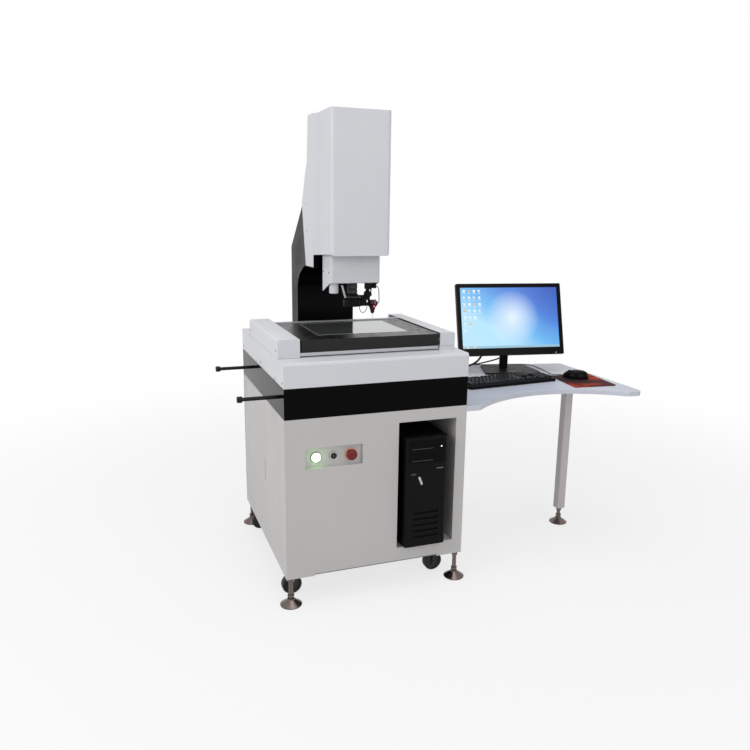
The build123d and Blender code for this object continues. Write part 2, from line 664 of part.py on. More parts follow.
# Column: a C-frame casting. It leans forward over the stage, and its front is the Z guide.
column_half = column_width / 2
with BuildPart() as column:
    with BuildSketch(side(-column_half)):
        with BuildLine():
            Polyline((cabinet_depth, granite_top), (column_front, granite_top), (column_front, column_knee))
            ThreePointArc((column_front, column_knee), (665, 1139), (618, 1169))
            ThreePointArc((618, 1169), (590, 1184), (560, column_arm_under))
            Polyline((560, column_arm_under), (column_arm_front, column_arm_under),
                     (column_arm_front, column_arm_top), (column_arm_back, column_arm_top),
                     (column_arm_back, 1545), (cabinet_depth, column_back_top), (cabinet_depth, granite_top))
        make_face()
    extrude(amount=column_width)
    chamfer(column.edges().filter_by(Axis.Z).group_by(Axis.Y)[-1], 3)
    # the casting is hollow at the back, behind a flush plate
    block(-column_half + 14, column_half - 14, column_front + 16, cabinet_depth - 10, granite_top + 20,
          column_back_top - 30, Mode.SUBTRACT)
    # upper part of the arm narrows to fit inside the head cover
    for x_side in (-1, 1):
        outer = x_side * (column_half + 1)
        inner = x_side * 92
        block(min(outer, inner), max(outer, inner), column_arm_front - 1, 425, column_arm_under - 1,
              column_arm_top + 1, Mode.SUBTRACT)
    # pads that the head cover is screwed to
    cover_inside = cover_rear_width / 2 - cover_sheet
    for x_side in (-1, 1):
        inner = x_side * column_half
        outer = x_side * cover_inside
        block(min(inner, outer), max(inner, outer), cover_screw_y - 9, cover_screw_y + 9, 1205, 1460)
    z_rail_low = column_arm_under + 3
    z_rail_high = column_arm_top - 5
    for rail_x in (-z_rail_spacing / 2, z_rail_spacing / 2):
        block(rail_x - x_rail_width / 2, rail_x + x_rail_width / 2, column_arm_front - 15, column_arm_front,
              z_rail_low, z_rail_high)
    # screw bearing below and motor plate on top
    z_screw_y = column_arm_front - 11
    block(-18, 18, column_arm_front - 22, column_arm_front, column_arm_under, column_arm_under + 14)
    block(-35, 35, z_screw_y - motor_size / 2 - 4, column_arm_back - 10, column_arm_top, column_arm_top + 8)
    post(0, z_screw_y, column_arm_under, column_arm_top + 8, small_screw_radius + running_fit, Mode.SUBTRACT)
keep(column, "column")

with BuildPart() as z_screw:
    post(0, z_screw_y, column_arm_under + 2, column_arm_top + 8, small_screw_radius)
keep(z_screw, "z_ballscrew")

# Servo motors of the Y and Z axes
with BuildPart() as motors:
    block(-motor_size / 2, motor_size / 2, 606, 606 + motor_length - 5, y_screw_z - motor_size / 2,
          y_screw_z + motor_size / 2)
    block(-motor_size / 2, motor_size / 2, z_screw_y - motor_size / 2, z_screw_y + motor_size / 2,
          column_arm_top + 8, column_arm_top + 8 + motor_length)
    for motor_edges in (motors.edges().filter_by(Axis.Y).group_by(Axis.Y)[-1],
                        motors.edges().filter_by(Axis.Z).group_by(Axis.Z)[-1]):
        chamfer(motor_edges, 5)
keep(motors, "servo_motors")

# Z carriage: a plate with guide blocks, a nut and the lens clamp
carriage_low = 1232.0
carriage_high = 1432.0
carriage_back = column_arm_front - 22
carriage_front = carriage_back - 16
clamp_z = 1262.0
with BuildPart() as carriage:
    block(-shroud_width / 2 + cover_sheet, shroud_width / 2 - cover_sheet, carriage_front, carriage_back,
          carriage_low, carriage_high)
    for block_x in (-z_rail_spacing / 2, z_rail_spacing / 2):
        for block_z in (carriage_low + 8, carriage_high - 58):
            block(block_x - 17, block_x + 17, carriage_back, column_arm_front - 3, block_z, block_z + 50)
            block(block_x - x_rail_width / 2 - slide_fit, block_x + x_rail_width / 2 + slide_fit,
                  column_arm_front - 15 - slide_fit, column_arm_front - 3, block_z, block_z + 50, Mode.SUBTRACT)
    block(-15, 15, carriage_back, column_arm_front - 1, 1310, 1350)
    post(0, z_screw_y, 1310, 1350, small_screw_radius + slide_fit, Mode.SUBTRACT)
    block(-17, 17, optical_y, carriage_front, clamp_z, clamp_z + 34)
    post(0, optical_y, clamp_z, clamp_z + 34, 34)
    post(0, optical_y, clamp_z, clamp_z + 34, 24, Mode.SUBTRACT)
keep(carriage, "z_carriage")

# Head cover: one bent sheet shell, narrow in front and flared at the rear to wrap the arm
flare_start = 392.0
flare_end = 420.0


def cover_solid(inset, corner):
    """The head cover's outer or inner form, as one solid, drawn smaller all round by inset."""
    narrow = cover_width / 2 - inset
    wide = cover_rear_width / 2 - inset
    y_front = cover_front + inset
    z_top = cover_top - inset
    with BuildPart(mode=Mode.PRIVATE) as form:
        with BuildSketch(side(-cover_rear_width)):
            with BuildLine():
                Line((y_front, cover_bottom), (cover_front + 40, cover_bottom))
                ThreePointArc((cover_front + 40, cover_bottom), (338, 1226), (392, cover_rear_bottom + 2))
                Polyline((392, cover_rear_bottom + 2), (527 - inset, cover_rear_bottom), (582 - inset, 1442),
                         (529 - inset, 1554), (499 - inset, 1601), (481 - inset, z_top), (y_front, z_top),
                         (y_front, cover_bottom))
            make_face()
        extrude(amount=2 * cover_rear_width)
        with BuildSketch(level(cover_rear_bottom - 10)):
            with BuildLine():
                Polyline((-narrow, y_front), (narrow, y_front), (narrow, flare_start), (wide, flare_end),
                         (wide, 600), (-wide, 600), (-wide, flare_end), (-narrow, flare_start),
                         (-narrow, y_front))
            make_face()
        extrude(amount=cover_top - cover_rear_bottom + 20, mode=Mode.INTERSECT)
        fillet(form.edges().filter_by(Axis.Z).group_by(Axis.Y)[0], corner)
    return form.part


outer_form = cover_solid(0, cover_corner)
inner_form = cover_solid(cover_sheet, cover_corner - cover_sheet)
with BuildPart() as head_cover:
    add(outer_form)
    add(inner_form, mode=Mode.SUBTRACT)
    # open underneath and at the back, where the arm enters
    with BuildSketch(side(-cover_rear_width / 2 + cover_sheet)):
        with BuildLine():
            Polyline((cover_front + cover_sheet, cover_bottom - 80), (cover_front + cover_sheet, cover_bottom + 6),
                     (500, 1240), (545, 1442), (500, 1545), (478, 1600), (478, 1640), (700, 1640), (700, 1100),
                     (cover_front + cover_sheet, 1100), (cover_front + cover_sheet, cover_bottom - 80))
        make_face()
    extrude(amount=cover_rear_width - 2 * cover_sheet, mode=Mode.SUBTRACT)
    for screw_z in (1225, 1334, 1439):
        rod_x(-cover_rear_width / 2 - 1.5, -cover_inside, cover_screw_y, screw_z, 4)
        rod_x(cover_inside, cover_rear_width / 2 + 1.5, cover_screw_y, screw_z, 4)
keep(head_cover, "head_cover")

# Shroud round the Z carriage. It slides up into the head cover.
shroud_half = shroud_width / 2
shroud_back = carriage_back
with BuildPart() as shroud:
    with BuildSketch(side(-shroud_half)):
        with BuildLine():
            Polyline((shroud_front, shroud_bottom), (300, shroud_bottom - 4), (shroud_back + 14, shroud_bottom - 40),
                     (shroud_back + 14, shroud_top), (shroud_front, shroud_top), (shroud_front, shroud_bottom))
        make_face()
    extrude(amount=shroud_width)
    fillet(shroud.edges().filter_by(Axis.Z).group_by(Axis.Y)[0], 10)
    block(-shroud_half + cover_sheet, shroud_half - cover_sheet, shroud_front + 10, shroud_back + 15,
          shroud_bottom + cover_sheet, shroud_top, Mode.SUBTRACT)
    block(-shroud_half + 10, shroud_half - 10, shroud_front + cover_sheet, shroud_back + 15,
          shroud_bottom + cover_sheet, shroud_top, Mode.SUBTRACT)
    block(-shroud_half + cover_sheet, shroud_half - cover_sheet, 365, shroud_back + 15,
          shroud_bottom - 60, shroud_bottom + cover_sheet + 1, Mode.SUBTRACT)
    block(-shroud_half + cover_sheet, shroud_half - cover_sheet, 300, 370, shroud_bottom - 60,
          shroud_bottom, Mode.SUBTRACT)
    post(0, optical_y, shroud_bottom - 10, shroud_bottom + 10, 30, Mode.SUBTRACT)
    post(-75, optical_y, shroud_bottom - 10, shroud_bottom + 10, 18, Mode.SUBTRACT)
keep(shroud, "z_shroud")

# Zoom lens, camera and ring light on the optical axis
with BuildPart() as lens:
    with BuildSketch(upright(0, optical_y)):
        with BuildLine():
            Polyline((0, lens_bottom), (lens_radius - 2, lens_bottom), (lens_radius - 2, ring_top), (27, ring_top),
                     (27, 1094), (lens_radius + 1, 1101), (lens_radius + 1, 1172), (24, 1184), (24, 1310),
                     (16, 1320), (16, 1332), (0, 1332), (0, lens_bottom))
        make_face()
    revolve(axis=Axis((0, optical_y, 0), (0, 0, 1)))
    # the zoom drive stands beside the barrel
    post(-75, optical_y, 1105, 1225, 17)
    block(-75, -22, optical_y - 12, optical_y + 12, 1188, 1218)
    chamfer(lens.edges().filter_by(GeomType.CIRCLE).filter_by(lambda e: e.center().X < -60).group_by(Axis.Z)[0], 2)
keep(lens, "zoom_lens")

with BuildPart() as camera:
    block(-camera_size / 2, camera_size / 2, optical_y - camera_size / 2, optical_y + camera_size / 2, 1332, 1392)
    for groove in range(4):
        groove_z = 1342 + 12 * groove
        block(-camera_size / 2, camera_size / 2, optical_y - camera_size / 2, optical_y - camera_size / 2 + 2,
              groove_z, groove_z + 5, Mode.SUBTRACT)
keep(camera, "camera")

with BuildPart() as ring_light:
    with BuildSketch(upright(0, optical_y)):
        with BuildLine():
            Polyline((lens_radius - 2 + running_fit, ring_bottom + 12), (ring_radius - 12, ring_bottom),
                     (ring_radius, ring_bottom), (ring_radius, ring_top - 6), (ring_radius - 6, ring_top),
                     (lens_radius - 2 + running_fit, ring_top), (lens_radius - 2 + running_fit, ring_bottom + 12))
        make_face()
    revolve(axis=Axis((0, optical_y, 0), (0, 0, 1)))
keep(ring_light, "ring_light")

# Touch probe: a mount under the shroud, a tilting head on the mount's pin, and a stylus
arm_left = ring_radius
pin_radius = 4.0
head_left = probe_x - 13
head_right = probe_x + 13
with BuildPart() as probe_mount:
    block(53, 77, optical_y - 11, optical_y + 11, 1118, shroud_bottom)
    block(84, 96, optical_y - 9, optical_y + 9, 1120, shroud_bottom)
    rod_y(63, optical_y - 13, optical_y + 13, 1098, 12)
    block(57, 68, optical_y - 7, optical_y + 7, probe_z, 1120)
    block(arm_left, head_left - 0.5, optical_y - 8, optical_y + 8, probe_z - 8, 1086)
    block(28, 54, optical_y - 9, optical_y + 9, 1086, 1094)
    block(57, 66, optical_y - 9, optical_y + 9, probe_z + 4, probe_z + 15, Mode.SUBTRACT)
    post(80, optical_y + 9, 1090, 1121, 2.5)
    block(60, 82.5, optical_y + 5, optical_y + 12, 1090, 1097)
    block(76, 86, optical_y + 3, optical_y + 9, 1120, 1128)
    rod_x(head_left - 4, head_right + 1, optical_y, probe_z, pin_radius)
    rod_x(head_right + 0.5, head_right + 6, optical_y, probe_z, 8)
keep(probe_mount, "probe_mount")

with BuildPart() as probe_head:
    rod_x(head_left, head_right, optical_y, probe_z, probe_radius)
    with BuildSketch(upright(probe_x, optical_y)):
        with BuildLine():
            Polyline((0, probe_z), (11, probe_z), (11, probe_z - 22), (8, probe_z - 27), (8, probe_z - 34),
                     (3, probe_z - 40), (0, probe_z - 40), (0, probe_z))
        make_face()
    revolve(axis=Axis((probe_x, optical_y, 0), (0, 0, 1)))
    rod_x(head_left, head_right, optical_y, probe_z, pin_radius + running_fit, Mode.SUBTRACT)
keep(probe_head, "probe_head")

with BuildPart() as stylus:
    post(probe_x, optical_y, stylus_tip + stylus_ball, probe_z - 40, 1)
    with Locations((probe_x, optical_y, stylus_tip + stylus_ball)):
        Sphere(stylus_ball)
keep(stylus, "stylus")

# Desk top: a board with a hollowed front edge, tapering to its right end
grommet_y = 680.0
with BuildPart() as desk:
    with BuildSketch(level(desk_under)):
        with BuildLine():
            Line((half_width, 0), (hollow_left, 0))
            ThreePointArc((hollow_left, 0), ((hollow_left + hollow_right) / 2, hollow_depth), (hollow_right, 4))
            Line((hollow_right, 4), (desk_end - desk_corner, 0))
            RadiusArc((desk_end - desk_corner, 0), (desk_end, desk_corner), -desk_corner)
            Polyline((desk_end, desk_corner), (desk_end, desk_depth_right), (half_width, desk_depth_left),
                     (half_width, 0))
        make_face()
    extrude(amount=desk_thick)
    fillet(desk.edges().group_by(Axis.Z)[-1], 2.5)
    block(half_width + 2, half_width + 52, grommet_y - 45, grommet_y + 45, desk_top_z, desk_top_z + 30)
keep(desk, "desk_top")

with BuildPart() as leg:
    block(leg_x - leg_size / 2, leg_x + leg_size / 2, leg_y - leg_size / 2, leg_y + leg_size / 2, leg_gap,
          desk_under - 4)
    fillet(leg.edges().filter_by(Axis.Z), 6)
    block(leg_x - 55, leg_x + 55, leg_y - 55, leg_y + 55, desk_under - 4, desk_under)
    post(leg_x, leg_y, leg_gap, leg_gap + stem_length + 4, stem_radius + running_fit, Mode.SUBTRACT)
keep(leg, "desk_leg")

levelling_foot(leg_x, leg_y, leg_gap + stem_length, "foot_desk")

# Screen on its stand: the panel tilts on the stand's head
yaw = radians(monitor_yaw)
tilt = radians(monitor_tilt)
panel_right = Vector(cos(yaw), sin(yaw), 0)
facing = Vector(sin(yaw), -cos(yaw), 0)
panel_out = facing * cos(tilt) + Vector(0, 0, 1) * sin(tilt)
panel_plane = Plane(origin=monitor_centre, x_dir=panel_right, z_dir=panel_out)
hub_depth = 46.0
with BuildPart() as monitor:
    with BuildSketch(panel_plane):
        RectangleRounded(monitor_width, monitor_height, 5)
    extrude(amount=-monitor_thick)
    with BuildSketch(panel_plane.offset(-monitor_thick)):
        RectangleRounded(monitor_width - 110, monitor_height - 90, 20)
    extrude(amount=-14, taper=25)
    with BuildSketch(panel_plane):
        with Locations((0, (bezel_bottom - bezel_top) / 2)):
            Rectangle(monitor_width - 2 * bezel_side, monitor_height - bezel_top - bezel_bottom)
    extrude(amount=-3, mode=Mode.SUBTRACT)
    with BuildSketch(panel_plane.offset(-monitor_thick - 12)):
        with Locations((-26, 0), (26, 0)):
            Rectangle(8, 30)
    extrude(amount=-hub_depth + monitor_thick + 4)
    hub = Vector(*monitor_centre) - panel_out * (hub_depth - 2)
    with BuildSketch(Plane(origin=hub - panel_right * 30, x_dir=panel_out, z_dir=panel_right)):
        Circle(6 + running_fit)
    extrude(amount=60, mode=Mode.SUBTRACT)
keep(monitor, "monitor_housing")

with BuildPart() as screen:
    with BuildSketch(panel_plane.offset(-3)):
        with Locations((0, (bezel_bottom - bezel_top) / 2)):
            Rectangle(monitor_width - 2 * bezel_side, monitor_height - bezel_top - bezel_bottom)
    extrude(amount=1.5)
keep(screen, "monitor_screen")

stand_back = facing * -1
stand_x = hub.X + stand_back.X * 16
stand_y = hub.Y + stand_back.Y * 16
stand_plane = Plane(origin=(stand_x, stand_y, desk_top_z), x_dir=panel_right, z_dir=(0, 0, 1))
with BuildPart() as stand:
    with BuildSketch(stand_plane):
        with BuildLine():
            Polyline((-130, -122), (136, -122), (118, 58), (-92, 58), (-130, -122))
        make_face()
    extrude(amount=8)
    fillet(stand.edges().filter_by(Axis.Z), 16)
    fillet(stand.edges().group_by(Axis.Z)[-1], 2)
    with BuildSketch(stand_plane.offset(8)):
        RectangleRounded(39, 18, 5)
    extrude(amount=hub.Z - desk_top_z + 8)
    with BuildSketch(Plane(origin=hub - panel_right * 31, x_dir=panel_out, z_dir=panel_right)):
        Circle(6)
    extrude(amount=62)
    with BuildSketch(Plane(origin=hub - panel_right * 20, x_dir=stand_back, z_dir=panel_right)):
        with Locations((7, 0)):
            Rectangle(16, 16)
    extrude(amount=40)
keep(stand, "monitor_stand")

# Keyboard with its key rows, mouse and mouse pad
keyboard_turn = radians(keyboard_yaw)
keyboard_plane = Plane(origin=(*keyboard_centre, desk_top_z), x_dir=(cos(keyboard_turn), sin(keyboard_turn), 0),
                       z_dir=(0, 0, 1))
with BuildPart() as keyboard:
    with BuildSketch(keyboard_plane):
        RectangleRounded(keyboard_width, keyboard_depth, 10)
    extrude(amount=16)
    chamfer(keyboard.edges().group_by(Axis.Z)[-1], 2)
    with BuildSketch(keyboard_plane.offset(16)):
        with Locations((-78, 6)):
            Rectangle(262, 116)
        with Locations((96, 6)):
            Rectangle(56, 116)
        with Locations((168, 6)):
            Rectangle(72, 116)
    extrude(amount=7, taper=12)
keep(keyboard, "keyboard")

mouse_turn = radians(mouse_heading)
mouse_plane = Plane(origin=(*mouse_centre, desk_top_z + mouse_pad_thick),
                    x_dir=(cos(mouse_turn), sin(mouse_turn), 0), z_dir=(0, 0, 1))
with BuildPart() as mouse:
    with BuildSketch(mouse_plane):
        Ellipse(mouse_length / 2, mouse_width / 2)
    with BuildSketch(mouse_plane.offset(mouse_height * 0.55)):
        with Locations((-2, 0)):
            Ellipse(mouse_length / 2 - 3, mouse_width / 2 - 2)
    with BuildSketch(mouse_plane.offset(mouse_height)):
        with Locations((-8, 0)):
            Ellipse(mouse_length / 2 - 26, mouse_width / 2 - 14)
    loft()
    with BuildSketch(Plane(origin=mouse_plane.origin + mouse_plane.x_dir * mouse_reach
                           + mouse_plane.z_dir * mouse_cord_up, z_dir=mouse_plane.x_dir)):
        Circle(mouse_cord_width / 2 + 0.2)
    extrude(amount=20, mode=Mode.SUBTRACT)
keep(mouse, "mouse")

pad_turn = radians(pad_yaw)
with BuildPart() as mouse_pad:
    with BuildSketch(Plane(origin=(*pad_centre, desk_top_z), x_dir=(cos(pad_turn), sin(pad_turn), 0),
                           z_dir=(0, 0, 1))):
        RectangleRounded(mouse_pad_width, mouse_pad_depth, 6)
    extrude(amount=mouse_pad_thick)
keep(mouse_pad, "mouse_pad")


# Cords: straight runs joined by arcs as large as their runs allow
def cord(points, diameter, label, smallest=5.0):
    radii = []
    corners = [Vector(*p) for p in points]
    for before, at, after in zip(corners, corners[1:], corners[2:]):
        run = min((at - before).length, (after - at).length)
        turn = radians((at - before).get_angle(after - at))
        radii.append(0.45 * run / tan(turn / 2))
    print(label, "radii", [round(r) for r in radii], "smallest allowed", smallest * diameter)
    with BuildPart() as tube:
        with BuildLine() as route:
            FilletPolyline(*corners, radius=radii)
        start = corners[1] - corners[0]
        with BuildSketch(Plane(origin=corners[0], z_dir=start)):
            Circle(diameter / 2)
        sweep(path=route.wires()[0])
    length = sum(edge.length for edge in route.edges())
    expected = pi * diameter ** 2 / 4 * length
    print(label, "length", round(length), "volume ratio", round(tube.part.volume / expected, 4))
    keep(tube, label)


def panel_point(right, up, depth):
    """A point given in the screen's own directions, from its front face's centre."""
    return Vector(*monitor_centre) + panel_right * right + panel_plane.y_dir * up - panel_out * depth


grommet_x = half_width + 52
socket_depth = monitor_thick + 14 + 1.6
display_start = panel_point(-62, 0, socket_depth)
display_route = [
    display_start, display_start - panel_out * 40, (776, 617, 894), (774, 630, 854), (768, 632, 804),
    (752, 626, 760), (722, 618, 728), (676, 618, 710), (616, 628, 706), (552, 648, 706), (488, 662, 706),
    (438, 668, 706), (grommet_x, 668, 706),
]
cord(display_route, 10.0, "display_cable", 3.0)
power_start = panel_point(66, 0, socket_depth)
power_route = [
    power_start, power_start - panel_out * 36, (902, 592, 898), (902, 606, 862), (900, 613, 820),
    (893, 616, 782), (874, 620, 754), (844, 628, 736), (806, 640, 724), (752, 654, 711), (704, 662, 705),
    (640, 670, 705), (574, 680, 705), (512, 688, 705), (452, 690, 705), (grommet_x, 690, 705),
]
cord(power_route, 7.0, "power_cable", 3.0)
mouse_ahead = mouse_plane.x_dir
mouse_nose = Vector(*mouse_centre, desk_top_z + mouse_pad_thick + mouse_cord_up) + mouse_ahead * mouse_reach
mouse_route = [
    mouse_nose, mouse_nose + mouse_ahead * 22, (974, 372, 704), (982, 408, 702.5), (990, 448, 702.5),
    (998, 500, 702.5), (1003, 548, 702.5), (999, 588, 702.5), (978, 618, 702.5), (936, 630, 702.5),
    (868, 647, 702.5), (800, 660, 702.5), (736, 676, 702.5), (672, 688, 702.5), (606, 701, 702.5),
    (544, 711, 702.5), (484, 715, 702.5), (440, 714, 702.5), (grommet_x, 714, 702.5),
]
cord(mouse_route, mouse_cord_width, "mouse_cord")
probe_route = [
    (96, optical_y, 1127), (103, optical_y, 1127), (109, optical_y, 1118), (110.5, optical_y, 1102),
    (111, optical_y, 1086), (111.5, optical_y, 1072), (110, optical_y, probe_z), (head_right + 6, optical_y, probe_z),
]
cord(probe_route, 3.2, "probe_cable", 2.0)
light_route = [
    (30, optical_y, ring_bottom), (30, optical_y, 1042), (34, optical_y, 1031), (42, optical_y, 1024),
    (51, optical_y, 1026), (58, optical_y, 1035), (61, optical_y, 1044), (61, optical_y, probe_z - 8),
]
cord(light_route, 2.5, "light_cable", 2.0)
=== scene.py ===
import json
from math import cos, pi, radians, sin

import bmesh
import bpy
from mathutils import Matrix, Vector


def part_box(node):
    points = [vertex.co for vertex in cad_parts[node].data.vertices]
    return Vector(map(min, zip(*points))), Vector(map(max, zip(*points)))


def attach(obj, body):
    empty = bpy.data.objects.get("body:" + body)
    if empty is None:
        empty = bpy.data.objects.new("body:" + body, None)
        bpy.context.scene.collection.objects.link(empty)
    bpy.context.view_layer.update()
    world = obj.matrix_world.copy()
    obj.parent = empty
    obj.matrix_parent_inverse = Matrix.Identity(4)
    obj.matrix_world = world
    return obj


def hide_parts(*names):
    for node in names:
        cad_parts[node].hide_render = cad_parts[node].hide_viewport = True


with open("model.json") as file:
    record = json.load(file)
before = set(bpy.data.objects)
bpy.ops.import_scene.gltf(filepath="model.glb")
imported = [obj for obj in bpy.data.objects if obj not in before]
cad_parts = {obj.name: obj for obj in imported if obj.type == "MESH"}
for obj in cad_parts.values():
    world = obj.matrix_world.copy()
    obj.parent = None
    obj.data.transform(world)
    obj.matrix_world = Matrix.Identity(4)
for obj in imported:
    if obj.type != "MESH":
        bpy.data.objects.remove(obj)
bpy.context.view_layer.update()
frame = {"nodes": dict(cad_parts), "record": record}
nodes = frame["nodes"]

# Places are given in millimetres from the machine's own zero: X 0 is the machine's centre line,
# Y 0 its cabinet's front and Z 0 the floor.
MM = 0.001
granite_low, granite_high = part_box("granite_base")
ZERO = Vector(((granite_low.x + granite_high.x) / 2, granite_low.y, 0.0))


def at(x, y, z):
    """A machine point in millimetres, as a point of the shared frame in metres."""
    return ZERO + Vector((x, y, z)) * MM


# Camera, fitted to the photograph
camera_spot = (-870.9, -2298.4, 1399.65)
camera_ahead = Vector((0.338522, 0.914897, -0.219922))
camera_right = Vector((0.938784, -0.344266, 0.012871))
focal_pixels = 709.86
picture_pixels = 750.0
sensor = 36.0


def make_camera():
    """The camera at the photograph's place and angle."""
    data = bpy.data.cameras.new("photo_camera")
    data.sensor_width = sensor
    data.lens = sensor * focal_pixels / picture_pixels
    data.clip_start = 0.05
    data.clip_end = 100.0
    camera = bpy.data.objects.new("photo_camera", data)
    bpy.context.scene.collection.objects.link(camera)
    up = camera_right.cross(camera_ahead).normalized()
    turn = Matrix((camera_right, up, -camera_ahead)).transposed().to_4x4()
    camera.matrix_world = Matrix.Translation(at(*camera_spot)) @ turn
    bpy.context.scene.camera = camera


# Materials
def rgb(red, green, blue):
    """An 8-bit screen colour as a linear one."""
    linear = []
    for value in (red, green, blue):
        share = value / 255
        linear.append(share / 12.92 if share <= 0.04045 else ((share + 0.055) / 1.055) ** 2.4)
    return (*linear, 1.0)


def scaled(colour, by):
    """A colour made lighter or darker."""
    return (*(min(1.0, channel * by) for channel in colour[:3]), 1.0)


class Surface:
    """A material's node tree with a principled shader, and short ways to add to it."""

    def __init__(self, name, roughness, metallic=0.0, specular=0.5, coat=0.0):
        self.material = bpy.data.materials.new(name)
        self.material.use_nodes = True
        self.tree = self.material.node_tree
        self.shader = self.tree.nodes["Principled BSDF"]
        self.shader.inputs["Roughness"].default_value = roughness
        self.shader.inputs["Metallic"].default_value = metallic
        self.shader.inputs["Specular IOR Level"].default_value = specular
        self.shader.inputs["Coat Weight"].default_value = coat
        self.place = self.node("ShaderNodeTexCoord").outputs["Object"]
        self.normal = None

    def node(self, kind, **values):
        made = self.tree.nodes.new(kind)
        for key, value in values.items():
            setattr(made, key, value)
        return made

    def link(self, source, target):
        self.tree.links.new(source, target)

    def stretched(self, scale):
        """The object's coordinates, stretched."""
        mapping = self.node("ShaderNodeMapping")
        mapping.inputs["Scale"].default_value = scale
        self.link(self.place, mapping.inputs["Vector"])
        return mapping.outputs["Vector"]

    def noise(self, scale, detail=3.0, source=None, roughness=0.5):
        made = self.node("ShaderNodeTexNoise")
        made.inputs["Scale"].default_value = scale
        made.inputs["Detail"].default_value = detail
        made.inputs["Roughness"].default_value = roughness
        self.link(source or self.place, made.inputs["Vector"])
        return made.outputs["Fac"]

    def ramp(self, value, *stops):
        """A colour ramp with (place, colour) stops."""
        made = self.node("ShaderNodeValToRGB")
        ramp = made.color_ramp
        while len(ramp.elements) < len(stops):
            ramp.elements.new(0.5)
        for element, (place, colour) in zip(ramp.elements, stops):
            element.position = place
            element.color = colour
        self.link(value, made.inputs["Fac"])
        return made.outputs["Color"]

    def spread(self, value, low, high, from_low=0.3, from_high=0.7):
        """The value, spread over a new range."""
        made = self.node("ShaderNodeMapRange")
        made.inputs["From Min"].default_value = from_low
        made.inputs["From Max"].default_value = from_high
        made.inputs["To Min"].default_value = low
        made.inputs["To Max"].default_value = high
        self.link(value, made.inputs["Value"])
        return made.outputs["Result"]

    def math(self, operation, *values):
        """A Math node on outputs and numbers."""
        made = self.node("ShaderNodeMath", operation=operation)
        for socket, value in zip(made.inputs, values):
            if isinstance(value, float):
                socket.default_value = value
            else:
                self.link(value, socket)
        return made.outputs[0]

    def colour_by(self, source):
        self.link(source, self.shader.inputs["Base Color"])

    def roughness_by(self, source):
        self.link(source, self.shader.inputs["Roughness"])

    def soft_edges(self, radius=0.0008):
        """Edges that catch the light as if they were slightly rounded."""
        bevel = self.node("ShaderNodeBevel")
        bevel.samples = 4
        bevel.inputs["Radius"].default_value = radius
        self.normal = bevel.outputs["Normal"]
        self.link(self.normal, self.shader.inputs["Normal"])

    def bump(self, height, strength, distance=0.0002):
        made = self.node("ShaderNodeBump")
        made.inputs["Strength"].default_value = strength
        made.inputs["Distance"].default_value = distance
        self.link(height, made.inputs["Height"])
        if self.normal:
            self.link(self.normal, made.inputs["Normal"])
        self.normal = made.outputs["Normal"]
        self.link(self.normal, self.shader.inputs["Normal"])


def powder_paint(name, colour, roughness=0.42, grain=0.25, patch=0.03, specular=0.5):
    """Stoved paint: faint orange-peel, a little unevenness in tone and gloss."""
    look = Surface(name, roughness, specular=specular)
    look.soft_edges()
    patches = look.noise(3.0, 4.0)
    look.colour_by(look.ramp(patches, (0.3, scaled(colour, 1 - patch)), (0.7, scaled(colour, 1 + patch))))
    look.roughness_by(look.spread(look.noise(9.0, 5.0), roughness - 0.05, roughness + 0.08))
    look.bump(look.noise(900.0, 2.0), grain, 0.0001)
    return look.material


def moulded_plastic(name, colour, roughness=0.45, grain=0.3, specular=0.5):
    """Moulded plastic: fine spark-eroded grain."""
    look = Surface(name, roughness, specular=specular)
    look.soft_edges(0.0006)
    look.colour_by(look.ramp(look.noise(14.0, 3.0), (0.3, scaled(colour, 0.9)), (0.7, scaled(colour, 1.12))))
    look.roughness_by(look.spread(look.noise(40.0, 4.0), roughness - 0.06, roughness + 0.08))
    look.bump(look.noise(1800.0, 2.0), grain, 0.00008)
    return look.material


def gloss_plastic(name, colour, roughness=0.16, specular=0.5, coat=0.3):
    """Glossy plastic with a slight ripple and handling marks."""
    look = Surface(name, roughness, specular=specular, coat=coat)
    look.shader.inputs["Coat Roughness"].default_value = 0.06
    look.soft_edges(0.0006)
    look.colour_by(look.ramp(look.noise(8.0, 3.0), (0.3, scaled(colour, 0.93)), (0.7, scaled(colour, 1.07))))
    look.roughness_by(look.spread(look.noise(22.0, 6.0), roughness - 0.04, roughness + 0.1))
    look.bump(look.noise(60.0, 2.0), 0.05, 0.0002)
    return look.material


def plated_steel(name, colour, roughness=0.12):
    """Chromed or nickelled steel, turned, with faint smears."""
    look = Surface(name, roughness, metallic=1.0)
    look.soft_edges(0.0005)
    look.colour_by(look.ramp(look.noise(25.0, 4.0), (0.3, scaled(colour, 0.92)), (0.7, colour)))
    look.roughness_by(look.spread(look.noise(60.0, 5.0), roughness - 0.04, roughness + 0.12))
    rings = look.noise(1.0, 2.0, look.stretched((60.0, 60.0, 1500.0)))
    look.bump(rings, 0.06, 0.0001)
    return look.material


def ground_steel(name, colour, roughness=0.28, along=(40.0, 1200.0, 1200.0)):
    """Ground or brushed metal with fine lines one way."""
    look = Surface(name, roughness, metallic=1.0)
    look.soft_edges(0.0005)
    lines = look.noise(1.0, 3.0, look.stretched(along))
    look.colour_by(look.ramp(lines, (0.25, scaled(colour, 0.86)), (0.75, colour)))
    look.roughness_by(look.spread(lines, roughness - 0.06, roughness + 0.1))
    look.bump(lines, 0.12, 0.0001)
    return look.material


def anodised(name, colour, roughness=0.36, metallic=0.55, specular=0.5):
    """Anodised aluminium: fine blasted grain under a thin dyed layer."""
    look = Surface(name, roughness, metallic=metallic, specular=specular)
    look.soft_edges(0.0006)
    look.colour_by(look.ramp(look.noise(6.0, 3.0), (0.3, scaled(colour, 0.9)), (0.7, scaled(colour, 1.15))))
    look.roughness_by(look.spread(look.noise(30.0, 5.0), roughness - 0.05, roughness + 0.1))
    look.bump(look.noise(1500.0, 2.0), 0.2, 0.00008)
    return look.material


